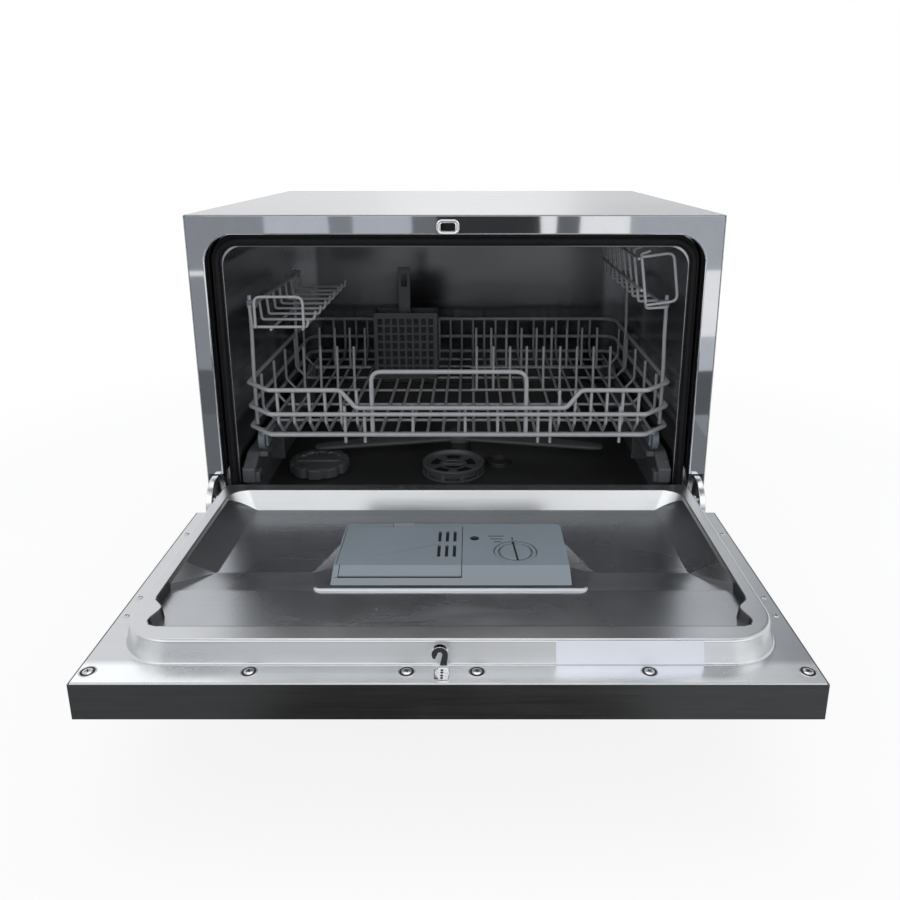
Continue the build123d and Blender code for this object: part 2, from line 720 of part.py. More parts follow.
# Screw heads along the top flange and down both sides.
screw_x = (-266.4, -147.4, -31.1, 20.8, 148.1, 265.1)
side_screw_depth = (-231.0, -204.0, -90.0)
with BuildPart() as door_screws:
    for x in screw_x:
        post(x, -301.5, (flange_z, flange_z + 0.9), 3.6)
    for x in (-268.0, 268.0):
        for depth in side_screw_depth:
            post(x, depth, (flange_z, flange_z + 0.9), 2.6)
door_screws.part.label = "door_screws"
export_step(door_screws.part, "parts/door_screws.step")

# Hook that enters the latch slot, bent from steel.
hook_thick = 5.0
with BuildPart() as latch_hook:
    block((-13.5, 0), (hook_y - 4.5, hook_y + 4.5), (flange_z, flange_z + 0.6))
    with BuildSketch(front_plane(hook_y + hook_thick / 2)):
        with Locations((-7.5, 145.5)):
            Circle(6)
            Circle(2.5, mode=Mode.SUBTRACT)
            with Locations((-5, -8)):
                Rectangle(12, 10, mode=Mode.SUBTRACT)
        with Locations((-3.5, (flange_z + 145.5) / 2)):
            Rectangle(4, 145.5 - flange_z)
    extrude(amount=hook_thick)
latch_hook.part.label = "latch_hook"
export_step(latch_hook.part, "parts/latch_hook.step")

# Blank plate on the front of the raised ring.
plate_lean = radians(ring_draft)
with BuildPart() as rating_plate:
    with BuildSketch(side_plane(80)):
        lean_y, lean_z = sin(plate_lean), cos(plate_lean)
        foot_y, foot_z = ring_front - 0.06, flange_z
        Polygon(
            (foot_y + 1.5 * lean_y, foot_z + 1.5 * lean_z), (foot_y + 16 * lean_y, foot_z + 16 * lean_z),
            (foot_y + 16 * lean_y - 0.4 * lean_z, foot_z + 16 * lean_z + 0.4 * lean_y),
            (foot_y + 1.5 * lean_y - 0.4 * lean_z, foot_z + 1.5 * lean_z + 0.4 * lean_y),
            align=None,
        )
    extrude(amount=111)
rating_plate.part.label = "rating_plate"
export_step(rating_plate.part, "parts/rating_plate.step")

# ======================= dispenser =======================

hole_x, hole_y = disp_hole
box_x = (hole_x[0] + seat_gap, hole_x[1] - seat_gap)
box_y = (hole_y[0] + seat_gap, hole_y[1] - seat_gap)
bevel_slope = (disp_top - dish_z(disp_front) - seat_gap) / (disp_bevel - disp_front)
lid_seat = disp_top - lid_thickness - seat_gap
lid_hinge_z = 140.6
lid_left = disp_left + 2
lid_right = disp_split - 0.4
cap_x, cap_y, cap_radius = 57.0, -155.3, 19.5
window_x, window_y, window_radius = 19.8, -131.0, 4.0
lock_x = (-59.0, -38.0)
lock_y = (-107.2, -100.6)
with BuildPart() as dispenser_body:
    with BuildSketch(side_plane(disp_left)):
        Polygon(
            (disp_front, dish_z(disp_front) + seat_gap), (disp_bevel, disp_top), (disp_top_rear, disp_top),
            (disp_rear, dish_z(disp_rear) + seat_gap), align=None,
        )
    extrude(amount=disp_right - disp_left)
    fillet(dispenser_body.edges().filter_by(GeomType.LINE).filter_by(Axis.X, reverse=True)
           .filter_by(Axis.Y, reverse=True).group_by(Axis.Y)[-1], 5)
    block(box_x, box_y, (liner_bottom, 137))
    block((lid_left - 0.4, disp_split), (-192, -178.4), (138.4, 160), Mode.SUBTRACT)
    block((lid_left - 0.4, disp_split), (-179, lid_rear + 0.4), (lid_seat, 160), Mode.SUBTRACT)
    block((lid_left + 4, disp_split - 4), (-176, lid_rear - 3), (cup_floor, 160), Mode.SUBTRACT)
    block((lock_x[0] - 0.3, lock_x[1] + 0.3), (lock_y[0] - 0.2, disp_rear + 2), (lid_seat - 3.4, 160), Mode.SUBTRACT)
    post(cap_x, cap_y, (139.5, 160), cap_radius + 0.5, Mode.SUBTRACT)
    post(window_x, window_y, (143.5, 160), window_radius + 0.3, Mode.SUBTRACT)
    block((disp_split + 6, box_x[1] - 4), (box_y[0] + 4, -180), (liner_bottom + 3, 136), Mode.SUBTRACT)
dispenser_body.part.label = "dispenser_body"
export_step(dispenser_body.part, "parts/dispenser_body.step")

with BuildPart() as dispenser_lid:
    front_top = disp_top - (disp_bevel + 190.5) * bevel_slope
    with BuildSketch(side_plane(lid_left)):
        Polygon(
            (lid_rear, disp_top), (disp_bevel, disp_top), (-190.5, front_top), (-190.5, lid_hinge_z),
            (lid_hinge_y, lid_hinge_z - 0.5), (disp_bevel + 1, disp_top - lid_thickness),
            (lid_rear, disp_top - lid_thickness), align=None,
        )
    extrude(amount=lid_right - lid_left)
    with BuildSketch(side_plane(lid_left)):
        with Locations((lid_hinge_y, lid_hinge_z)):
            Circle(1.7)
    extrude(amount=lid_right - lid_left)
    block((lid_left + 6, disp_split - 6), (-171, lid_rear - 5), (lid_seat - 1, disp_top - 2))
    for column in range(3):
        x = -12.9 + column * 7.1
        block((x - 1.4, x + 1.4), (-137, -116), (140, 160), Mode.SUBTRACT)
        block((x - 1.4, x + 1.4), (-165, -143), (140, 160), Mode.SUBTRACT)
dispenser_lid.part.label = "dispenser_lid"
export_step(dispenser_lid.part, "parts/dispenser_lid.step")

with BuildPart() as dispenser_latch:
    block(lock_x, (lock_y[0], lock_y[1]), (lid_seat - 3, disp_top + 0.2))
    chamfer(dispenser_latch.edges().filter_by(Axis.Y).group_by(Axis.Z)[-1], 1.5)
dispenser_latch.part.label = "dispenser_latch"
export_step(dispenser_latch.part, "parts/dispenser_latch.step")

with BuildPart() as rinse_cap:
    post(cap_x, cap_y, (139.8, disp_top - 1), cap_radius)
    post(cap_x, cap_y, (disp_top - 2, disp_top), cap_radius - 6)
    with Locations((cap_x, face_y + cap_y, disp_top)):
        Box(3.4, 26, 3, rotation=(0, 0, -15), mode=Mode.SUBTRACT)
rinse_cap.part.label = "rinse_cap"
export_step(rinse_cap.part, "parts/rinse_cap.step")

with BuildPart() as rinse_window:
    post(window_x, window_y, (143.8, disp_top), window_radius)
rinse_window.part.label = "rinse_window"
export_step(rinse_window.part, "parts/rinse_window.step")

# ======================= controls =======================

fascia_y = (fascia_front + seat_gap, fascia_back - seat_gap)
fascia_x = fascia_half - seat_gap
button_y = (fascia_front + fascia_back) / 2
button_first_x = 92.0
display_x = (-196.0, -116.0)
display_y = (button_y - 11, button_y + 11)
pocket_x = (-62.0, 48.0)
pocket_y = (-305.0, -266.0)
with BuildPart() as control_fascia:
    block((-fascia_x, fascia_x), fascia_y, (skin_z - 0.3, skin_z + 2.8))
    block((-fascia_x - 5, fascia_x + 5), (fascia_y[0] - 2, fascia_y[1] + 5), (skin_z + door_sheet, skin_z + 2.8))
    block(pocket_x, pocket_y, (skin_z - 0.3, skin_z + 22))
    block((pocket_x[0] + 2, pocket_x[1] - 2), (pocket_y[0] + 2, pocket_y[1] - 2), (skin_z - 1, skin_z + 20), Mode.SUBTRACT)
    block(display_x, display_y, (skin_z - 1, skin_z + 3), Mode.SUBTRACT)
    for step in range(button_count):
        post(button_first_x + step * button_pitch, button_y, (skin_z - 1, skin_z + 3), button_radius + 0.3, Mode.SUBTRACT)
control_fascia.part.label = "control_fascia"
export_step(control_fascia.part, "parts/control_fascia.step")

with BuildPart() as display_window:
    block((display_x[0] + seat_gap, display_x[1] - seat_gap), (display_y[0] + seat_gap, display_y[1] - seat_gap),
          (skin_z, skin_z + 6))
display_window.part.label = "display_window"
export_step(display_window.part, "parts/display_window.step")

with BuildPart() as control_board:
    block((-205, 232), (pocket_y[0] + 2, pocket_y[1] - 2), (skin_z + 22.3, skin_z + 23.9))
    block((-200, -112), display_y, (skin_z + 6.3, skin_z + 22.5))
    for step in range(button_count):
        x = button_first_x + step * button_pitch
        block((x - 3, x + 3), (button_y - 3, button_y + 3), (skin_z + 8, skin_z + 22.5))
control_board.part.label = "control_board"
export_step(control_board.part, "parts/control_board.step")

for step in range(button_count):
    with BuildPart() as button:
        post(button_first_x + step * button_pitch, button_y, (skin_z - 1.2, skin_z + 4.5), button_radius)
        fillet(button.faces().group_by(Axis.Z)[0].edges(), 0.8)
    button.part.label = f"button_{step + 1}"
    export_step(button.part, f"parts/button_{step + 1}.step")

# ======================= rack =======================

cx = rack_shift
side_x = (cx - rack_half, cx + rack_half)
rack_wires = []


def hoop(z):
    """Back and sides of one hoop."""
    return wire(
        [(side_x[0], 200, z), (side_x[0], rack_back, z), (side_x[1], rack_back, z), (side_x[1], 200, z)],
        hoop_wire, 22,
    )


def hoop_front(z, dipped):
    """Front of one hoop, with its corners cut off at an angle; the top one dips in the middle."""
    left = [(side_x[0], 200, z), (side_x[0], rack_front + rack_corner, z),
            (side_x[0] + rack_corner, rack_front, z)]
    right = [(side_x[1] - rack_corner, rack_front, z), (side_x[1], rack_front + rack_corner, z),
             (side_x[1], 200, z)]
    middle = []
    if dipped:
        middle = [(-128, rack_front, z), (-111, rack_front, dip_z), (122, rack_front, dip_z), (138, rack_front, z)]
    return wire(left + middle + right, hoop_wire, 9)


for z in hoop_z:
    rack_wires.append(hoop(z))
    rack_wires.append(hoop_front(z, z == hoop_z[-1]))

# Handle loop standing up in the middle of the front.
loop_y = rack_front + 3.9
rack_wires.append(wire(
    [(-93.6, loop_y, hoop_z[0]), (-93.6, loop_y, loop_z), (77.6, loop_y, loop_z), (77.6, loop_y, hoop_z[0])],
    hoop_wire, 12,
))

# Uprights welded behind the front hoops; the longer ones end as feet.
upright_y = rack_front + 3.8
for x in (-48.4, 9.9, 46.2):
    rack_wires.append(wire([(x, upright_y, hoop_z[0] - 2), (x, upright_y, dip_z + 2)], floor_wire))
for x in (-124.2, -102.4, 91.3, 105.0, 182.6):
    rack_wires.append(wire([(x, upright_y, 183), (x, upright_y, dip_z + 1)], floor_wire))

# Floor wires that turn up to the hoops at both ends, and straight ones in the middle.
long_pitch = 17.6
for side in (-1, 1):
    for step in range(6):
        x = cx + side * (112.6 + step * long_pitch)
        rack_wires.append(wire(
            [(x, upright_y, hoop_z[-1] - 1), (x, upright_y + 2, 206), (x, floor_front, floor_z),
             (x, floor_back, floor_z), (x, rack_back - 3.8, 206), (x, rack_back - 3.8, hoop_z[-1] - 1)],
            floor_wire, 6,
        ))
for step in range(-5, 6):
    x = cx + step * long_pitch
    rack_wires.append(wire(
        [(x, floor_front - 10, floor_z), (x, floor_back, floor_z), (x, rack_back - 3.8, 206),
         (x, rack_back - 3.8, hoop_z[-1] - 1)],
        floor_wire, 6,
    ))
for x in (cx - 221, cx + 221):
    rack_wires.append(wire([(x, floor_front - 10, floor_z), (x, floor_back + 5, floor_z)], floor_wire))

# Cross wires under the floor wires, turned up to the side hoops.
cross_z = floor_z - 3.4
for depth in (90, 150, 210, 270, 330):
    rack_wires.append(wire(
        [(side_x[0] + 3.8, depth, hoop_z[-1] - 1), (side_x[0] + 3.8, depth, 203), (side_x[0] + 18, depth, cross_z),
         (side_x[1] - 18, depth, cross_z), (side_x[1] - 3.8, depth, 203), (side_x[1] - 3.8, depth, hoop_z[-1] - 1)],
        floor_wire, 8,
    ))
for depth, reach in ((floor_front, 226), (floor_back - 4, 226)):
    rack_wires.append(wire([(cx - reach, depth, cross_z), (cx + reach, depth, cross_z)], floor_wire))

# Plate tines in two rows, on wires that lie over the floor wires.
tine_base_z = floor_z + 3.4
for depth in (190, 300):
    for first, count in ((24, 9), (-204, 4)):
        x_end = first + (count - 1) * 22
        rack_wires.append(wire([(first - 8, depth, tine_base_z), (x_end + 8, depth, tine_base_z)], floor_wire))
        for step in range(count):
            x = first + step * 22
            rack_wires.append(wire([(x, depth, tine_base_z), (x, depth + 5, tine_top)], floor_wire))

# Posts for the cup shelves, standing on the side hoops and leaning in above them.
left_hinge_x = cx - shelf_hinge_x - cx
right_hinge_x = 2 * cx - left_hinge_x
post_depths = (60, 280)
for side, hinge in ((-1, left_hinge_x), (1, right_hinge_x)):
    foot = cx + side * (rack_half - 4.2)
    top = hinge + side * 5.2
    for depth in post_depths:
        rack_wires.append(wire(
            [(foot, depth, hoop_z[0] - 2), (foot, depth, 262), (top, depth, 300), (top, depth, shelf_hinge_z + 10)],
            4.4, 12,
        ))

shelf_rod = 2.0
with BuildPart() as rack_basket:
    add(rack_wires)
    for side, hinge in ((-1, left_hinge_x), (1, right_hinge_x)):
        for depth in post_depths:
            with Locations((hinge + side * 2.5, face_y + depth, shelf_hinge_z)):
                Box(11, 7, 9)
            with Locations((hinge, face_y + depth, shelf_hinge_z)):
                with Locations(Rotation(90, 0, 0)):
                    Cylinder(shelf_rod + running_gap, 20, mode=Mode.SUBTRACT)
rack_basket.part.label = "rack_basket"
export_step(rack_basket.part, "parts/rack_basket.step")

# Clips under the rack that carry the rollers.
wheel_z = rail_top + seat_gap + wheel_radius
clip_near = wheel_offset - wheel_width / 2 - 3.4
with BuildPart() as wheel_clips:
    for side in (-1, 1):
        for depth in (wheel_front_y, wheel_back_y):
            block(sorted((cx + side * clip_near, cx + side * (clip_near + 3))), (depth - 9, depth + 9),
                  (wheel_z - 6, cross_z + 3.4 - floor_wire / 2 - seat_gap))
            block(sorted((cx + side * (clip_near - 6), cx + side * (clip_near + 3))), (depth - 9, depth + 9),
                  (cross_z - 1.2, cross_z + 3.4 - floor_wire / 2 - seat_gap))
            pin_end = wheel_offset + wheel_width / 2 + 0.4
            with Locations((cx + side * (clip_near + pin_end) / 2, face_y + depth, wheel_z)):
                with Locations(Rotation(0, 90, 0)):
                    Cylinder(axle_radius, pin_end - clip_near + 0.6)
            with Locations((cx + side * (pin_end + 0.75), face_y + depth, wheel_z)):
                with Locations(Rotation(0, 90, 0)):
                    Cylinder(axle_radius + 1.6, 1.5)
wheel_clips.part.label = "wheel_clips"
export_step(wheel_clips.part, "parts/wheel_clips.step")

for end, depth in (("front", wheel_front_y), ("back", wheel_back_y)):
    for name, side in (("left", -1), ("right", 1)):
        with BuildPart() as wheel:
            with Locations((cx + side * wheel_offset, face_y + depth, wheel_z)):
                with Locations(Rotation(0, 90, 0)):
                    Cylinder(wheel_radius, wheel_width)
                    Cylinder(axle_radius + running_gap, wheel_width + 2, mode=Mode.SUBTRACT)
                    with PolarLocations(8, 5):
                        Cylinder(1.8, wheel_width + 2, mode=Mode.SUBTRACT)
        wheel.part.label = f"wheel_{end}_{name}"
        export_step(wheel.part, f"parts/wheel_{end}_{name}.step")

# ======================= cup shelves =======================

low_z = shelf_hinge_z - shelf_drop
tip_x = left_hinge_x + shelf_reach
shelf_wires = [wire([(left_hinge_x, shelf_front, shelf_hinge_z), (left_hinge_x, shelf_back, shelf_hinge_z)], 4.0)]
for depth in (40, 80, 112, 144, 176, 208, 240, 268, 300):
    shelf_wires.append(wire(
        [(left_hinge_x, depth, shelf_hinge_z), (left_hinge_x + 2, depth, low_z), (tip_x - 2, depth, low_z),
         (tip_x, depth, low_z + 10)],
        3.2, 3,
    ))
for x in (left_hinge_x + 22, tip_x - 7):
    shelf_wires.append(wire([(x, shelf_front, low_z - 2.9), (x, shelf_back, low_z - 2.9)], 3.2))
shelf_wires.append(wire(
    [(left_hinge_x + 6, shelf_front - 2.9, low_z - 1), (left_hinge_x + 6, shelf_front - 2.9, shelf_hinge_z + shelf_guard),
     (tip_x - 5, shelf_front - 2.9, shelf_hinge_z + shelf_guard), (tip_x - 5, shelf_front - 2.9, low_z - 1)],
    3.2, 8,
))
with BuildPart() as cup_shelf_left:
    add(shelf_wires)
cup_shelf_left.part.label = "cup_shelf_left"
export_step(cup_shelf_left.part, "parts/cup_shelf_left.step")

# The right shelf is the mirror image, folded up against the rack's side.
right_axis = Axis((right_hinge_x, 0, shelf_hinge_z), (0, 1, 0))
middle_plane = Plane(origin=(cx, 0, 0), x_dir=(0, 1, 0), z_dir=(1, 0, 0))
with BuildPart() as cup_shelf_right:
    with BuildPart(mode=Mode.PRIVATE) as unfolded:
        add(cup_shelf_left.part)
        mirror(about=middle_plane, mode=Mode.REPLACE)
    add(unfolded.part.rotate(right_axis, shelf_fold))
cup_shelf_right.part.label = "cup_shelf_right"
export_step(cup_shelf_right.part, "parts/cup_shelf_right.step")

# ======================= cutlery basket =======================

basket_x = (-118.0, -30.0)
basket_y = (250.0, 288.0)
basket_z = (floor_z + floor_wire / 2 + 0.4, 285.0)
basket_wall = 2.0
handle_x = (-84.0, -68.0)
handle_top = 345.0
mid_x = (basket_x[0] + basket_x[1]) / 2
mid_y = (basket_y[0] + basket_y[1]) / 2
with BuildPart() as cutlery_basket:
    block(basket_x, basket_y, basket_z)
    block((basket_x[0] + basket_wall, basket_x[1] - basket_wall), (basket_y[0] + basket_wall, basket_y[1] - basket_wall),
          (basket_z[0] + basket_wall, basket_z[1] + 1), Mode.SUBTRACT)
    for column in range(8):
        for row in range(7):
            x = basket_x[0] + 9 + column * 10
            z = basket_z[0] + 8 + row * 11.4
            block((x - 3.2, x + 3.2), (basket_y[0] - 1, basket_y[1] + 1), (z, z + 8), Mode.SUBTRACT)
    for column in range(3):
        for row in range(7):
            y = basket_y[0] + 9 + column * 10
            z = basket_z[0] + 8 + row * 11.4
            block((basket_x[0] - 1, basket_x[1] + 1), (y - 3.2, y + 3.2), (z, z + 8), Mode.SUBTRACT)
    block((basket_x[0] + 1, basket_x[1] - 1), (mid_y - 1, mid_y + 1), (basket_z[0] + 1, basket_z[1] - 4))
    block(handle_x, (mid_y - 2, mid_y + 2), (basket_z[0] + 1, handle_top))
    block((handle_x[0] + 4, handle_x[1] - 4), (mid_y - 3, mid_y + 3), (handle_top - 26, handle_top - 5), Mode.SUBTRACT)
cutlery_basket.part.label = "cutlery_basket"
export_step(cutlery_basket.part, "parts/cutlery_basket.step")
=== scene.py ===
import bpy
import bmesh
import json
import math
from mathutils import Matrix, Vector
from mathutils.geometry import tessellate_polygon


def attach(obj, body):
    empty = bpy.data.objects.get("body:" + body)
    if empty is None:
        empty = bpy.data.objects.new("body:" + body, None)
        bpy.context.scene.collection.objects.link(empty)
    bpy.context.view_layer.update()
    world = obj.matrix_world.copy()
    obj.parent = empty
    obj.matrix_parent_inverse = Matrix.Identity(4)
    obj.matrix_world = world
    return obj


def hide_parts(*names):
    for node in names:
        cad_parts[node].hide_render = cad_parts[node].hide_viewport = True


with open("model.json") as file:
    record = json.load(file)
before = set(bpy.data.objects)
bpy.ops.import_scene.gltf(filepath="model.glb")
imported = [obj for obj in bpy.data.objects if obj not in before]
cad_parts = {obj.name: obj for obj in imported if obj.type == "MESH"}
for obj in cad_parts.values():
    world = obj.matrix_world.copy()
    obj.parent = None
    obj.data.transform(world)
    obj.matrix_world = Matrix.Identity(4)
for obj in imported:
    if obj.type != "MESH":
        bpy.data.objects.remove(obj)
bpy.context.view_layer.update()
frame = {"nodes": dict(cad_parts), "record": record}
nodes = frame["nodes"]

# Sizes are written in millimetres, with depth counted back from the cabinet's face, as in the CAD source.
FACE_Y = -82.0
PIVOT_Y, PIVOT_Z = -4.6, 126.6
FLANGE_Z = 129.7
RING_TOP = 147.2


def at(x, y, z):
    """A point in metres in the row frame."""
    return Vector((x / 1000, (y + FACE_Y) / 1000, z / 1000))


# ---------------------------------------------------------------- meshes


class Shape:
    """Collects points and faces of one piece, in millimetres."""

    def __init__(self):
        self.points = []
        self.faces = []

    def add(self, points, faces):
        start = len(self.points)
        self.points += [tuple(p) for p in points]
        self.faces += [tuple(i + start for i in f) for f in faces]

    def grid(self, rows, close=False, cap_start=False, cap_end=False, flip=False):
        """Quads between rows of points; close joins each row's last point to its first."""
        count = len(rows[0])
        points = [p for row in rows for p in row]
        faces = []
        last = count if close else count - 1
        for r in range(len(rows) - 1):
            for c in range(last):
                a, b = r * count + c, r * count + (c + 1) % count
                faces.append((a, b, b + count, a + count))
        if cap_start:
            faces.append(tuple(range(count - 1, -1, -1)))
        if cap_end:
            base = (len(rows) - 1) * count
            faces.append(tuple(range(base, base + count)))
        if flip:
            faces = [f[::-1] for f in faces]
        self.add(points, faces)

    def tube(self, route, radius, bend=8.0, sides=12, flat=1.0):
        """A round bar along a route with rounded corners and softened ends."""
        path = rounded(route, bend)
        tangents = []
        for i, p in enumerate(path):
            a = path[max(i - 1, 0)]
            b = path[min(i + 1, len(path) - 1)]
            tangents.append((b - a).normalized())
        side = tangents[0].orthogonal().normalized()
        rows = []
        frames = []
        for p, t in zip(path, tangents):
            side = (side - t * side.dot(t)).normalized()
            frames.append((p, t, side, t.cross(side)))

        def circle(p, s, u, r):
            row = []
            for k in range(sides):
                a = 2 * math.pi * k / sides
                row.append(p + (s * math.cos(a) + u * math.sin(a) * flat) * r)
            return row

        p, t, s, u = frames[0]
        rows.append(circle(p, s, u, radius * 0.6))
        rows.append(circle(p + t * radius * 0.3, s, u, radius))
        for p, t, s, u in frames[1:-1]:
            rows.append(circle(p, s, u, radius))
        p, t, s, u = frames[-1]
        rows.append(circle(p - t * radius * 0.3, s, u, radius))
        rows.append(circle(p, s, u, radius * 0.6))
        self.grid(rows, close=True, cap_start=True, cap_end=True)

    def lathe(self, profile, centre, axis="z", segments=48, cap_start=True, cap_end=True, lobes=0, depth=0.0):
        """Turns (radius, height) pairs about an axis through a centre."""
        rows = []
        for radius, height in profile:
            row = []
            for k in range(segments):
                a = 2 * math.pi * k / segments
                r = radius
                if lobes:
                    r = radius - depth * max(0.0, math.cos(a * lobes)) ** 2
                c, s = r * math.cos(a), r * math.sin(a)
                if axis == "z":
                    row.append((centre[0] + c, centre[1] + s, centre[2] + height))
                elif axis == "y":
                    row.append((centre[0] + s, centre[1] + height, centre[2] + c))
                else:
                    row.append((centre[0] + height, centre[1] + c, centre[2] + s))
            rows.append(row)
        self.grid(rows, close=True, cap_start=cap_start, cap_end=cap_end)

    def box(self, xs, ys, zs):
        points = [(x, y, z) for z in zs for y in ys for x in xs]
        faces = [(0, 2, 3, 1), (4, 5, 7, 6), (0, 1, 5, 4), (2, 6, 7, 3), (0, 4, 6, 2), (1, 3, 7, 5)]
        self.add(points, faces)

    def sheet(self, loops, place):
        """A flat sheet with holes: 2-D loops, placed in space by a function."""
        vectors = [[Vector((a, b, 0)) for a, b in loop] for loop in loops]
        triangles = tessellate_polygon(vectors)
        points = [place(v.x, v.y) for loop in vectors for v in loop]
        self.add(points, triangles)

    def make(self, name, material, body, bevel=0.0, segments=2, angle=35, replaces=(), sharp=30):
        points = [at(*p) for p in self.points]
        mesh = bpy.data.meshes.new(name)
        mesh.from_pydata([tuple(p) for p in points], [], self.faces)
        mesh.update()
        return finish_mesh(name, mesh, material, body, bevel, segments, angle, replaces, sharp)


def finish_mesh(name, mesh, material, body, bevel, segments, angle, replaces, sharp=30, tidy=False):
    work = bmesh.new()
    work.from_mesh(mesh)
    bmesh.ops.remove_doubles(work, verts=work.verts, dist=1e-6)
    if tidy:
        bmesh.ops.dissolve_limit(work, angle_limit=math.radians(0.6), verts=work.verts, edges=work.edges)
    bmesh.ops.recalc_face_normals(work, faces=work.faces)
    if bevel:
        edges = [e for e in work.edges if len(e.link_faces) == 2 and e.calc_face_angle(0) > math.radians(sharp)]
        bmesh.ops.bevel(work, geom=edges, offset=bevel / 1000, segments=segments, profile=0.5,
                        affect="EDGES", clamp_overlap=True)
    work.to_mesh(mesh)
    work.free()
    mesh.polygons.foreach_set("use_smooth", [True] * len(mesh.polygons))
    mesh.set_sharp_from_angle(angle=math.radians(angle))
    mesh.materials.clear()
    mesh.materials.append(material)
    obj = bpy.data.objects.new(name, mesh)
    bpy.context.collection.objects.link(obj)
    even = obj.modifiers.new("even_normals", "WEIGHTED_NORMAL")
    even.keep_sharp = True
    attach(obj, body)
    for node in replaces:
        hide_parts(node)
    return obj


def refined(node, material, bevel=0.4, segments=2, angle=35, sharp=30):
    """A copy of a CAD node's mesh with eased edges, in its place."""
    body = next(b for b, listed in frame["record"]["behaviour"]["bodies"].items() if node in listed)
    mesh = nodes[node].data.copy()
    mesh.transform(nodes[node].matrix_world)
    return finish_mesh(node + "_finished", mesh, material, body, bevel, segments, angle, (node,), sharp, True)


def rounded(route, bend, steps=6):
    """The route with its corners turned into arcs."""
    pts = [Vector(p) for p in route]
    out = [pts[0]]
    for i in range(1, len(pts) - 1):
        a, b, c = pts[i - 1], pts[i], pts[i + 1]
        u, v = (a - b), (c - b)
        limit = min(u.length, v.length) * 0.48
        u.normalize()
        v.normalize()
        turn = math.pi - u.angle(v)
        if turn < 0.02:
            out.append(b)
            continue
        cut = min(bend * math.tan(turn / 2), limit)
        start, end = b + u * cut, b + v * cut
        for k in range(steps + 1):
            t = k / steps
            out.append(start * (1 - t) ** 2 + b * (2 * t * (1 - t)) + end * t ** 2)
    out.append(pts[-1])
    return out


def rounded_rect(half_x, front, back, r_front, r_back, nx=60, ny=36, nc=12):
    """Points round a rounded rectangle, always the same number in the same order."""
    out = []

    def line(a, b, n):
        for k in range(n):
            t = k / n
            out.append((a[0] + (b[0] - a[0]) * t, a[1] + (b[1] - a[1]) * t))

    def arc(cx, cy, r, start, n):
        for k in range(n):
            a = math.radians(start + 90 * k / n)
            out.append((cx + r * math.cos(a), cy + r * math.sin(a)))

    line((-half_x + r_front, front), (half_x - r_front, front), nx)
    arc(half_x - r_front, front + r_front, r_front, -90, nc)
    line((half_x, front + r_front), (half_x, back - r_back), ny)
    arc(half_x - r_back, back - r_back, r_back, 0, nc)
    line((half_x - r_back, back), (-half_x + r_back, back), nx)
    arc(-half_x + r_back, back - r_back, r_back, 90, nc)
    line((-half_x, back - r_back), (-half_x, front + r_front), ny)
    arc(-half_x + r_front, front + r_front, r_front, 180, nc)
    return out


def doorway(half, top, bottom, radius, steps=14):
    """An upside-down U from the bottom left to the bottom right, with its outward directions."""
    out = [((-half, bottom), (-1, 0)), ((-half, (bottom + top - radius) / 2), (-1, 0))]
    for k in range(steps + 1):
        a = math.pi - math.pi / 2 * k / steps
        out.append(((-half + radius + radius * math.cos(a), top - radius + radius * math.sin(a)),
                    (math.cos(a), math.sin(a))))
    out.append(((0, top), (0, 1)))
    for k in range(steps + 1):
        a = math.pi / 2 - math.pi / 2 * k / steps
        out.append(((half - radius + radius * math.cos(a), top - radius + radius * math.sin(a)),
                    (math.cos(a), math.sin(a))))
    out.append(((half, (bottom + top - radius) / 2), (1, 0)))
    out.append(((half, bottom), (1, 0)))
    return out


def sweep_doorway(shape, path, profile, close=False, caps=False):
    """Carries a profile of (outward offset, depth) pairs round a doorway."""
    rows = []
    for (x, z), (nx, nz) in path:
        rows.append([(x + nx * off, depth, z + nz * off) for off, depth in profile])
    shape.grid(rows, close=close, cap_start=caps, cap_end=caps)


# ---------------------------------------------------------------- materials


def principled(name):
    mat = bpy.data.materials.new(name)
    mat.use_nodes = True
    tree = mat.node_tree
    return mat, tree, tree.nodes["Principled BSDF"]


def stretched(tree, scale, kind="Object"):
    coord = tree.nodes.new("ShaderNodeTexCoord")
    mapping = tree.nodes.new("ShaderNodeMapping")
    mapping.inputs["Scale"].default_value = scale
    tree.links.new(coord.outputs[kind], mapping.inputs["Vector"])
    return mapping.outputs["Vector"]


def noise(tree, vector, scale, detail=4.0, rough=0.55, distortion=0.0):
    node = tree.nodes.new("ShaderNodeTexNoise")
    node.inputs["Scale"].default_value = scale
    node.inputs["Detail"].default_value = detail
    node.inputs["Roughness"].default_value = rough
    node.inputs["Distortion"].default_value = distortion
    tree.links.new(vector, node.inputs["Vector"])
    return node.outputs["Fac"]


def spread(tree, fac, low, high, out_low, out_high):
    node = tree.nodes.new("ShaderNodeMapRange")
    node.inputs["From Min"].default_value = low
    node.inputs["From Max"].default_value = high
    node.inputs["To Min"].default_value = out_low
    node.inputs["To Max"].default_value = out_high
    tree.links.new(fac, node.inputs["Value"])
    return node.outputs["Result"]


def ramp(tree, fac, stops):
    node = tree.nodes.new("ShaderNodeValToRGB")
    elements = node.color_ramp.elements
    elements[0].position, elements[0].color = stops[0][0], (*stops[0][1], 1)
    elements[1].position, elements[1].color = stops[-1][0], (*stops[-1][1], 1)
    for position, colour in stops[1:-1]:
        elements.new(position).color = (*colour, 1)
    tree.links.new(fac, node.inputs["Fac"])
    return node.outputs["Color"]


def bump(tree, height, strength, distance=0.001, normal=None):
    node = tree.nodes.new("ShaderNodeBump")
    node.inputs["Strength"].default_value = strength
    node.inputs["Distance"].default_value = distance
    tree.links.new(height, node.inputs["Height"])
    if normal is not None:
        tree.links.new(normal, node.inputs["Normal"])
    return node.outputs["Normal"]


def tinted(colour, k):
    return tuple(max(0.0, min(1.0, c * k)) for c in colour)


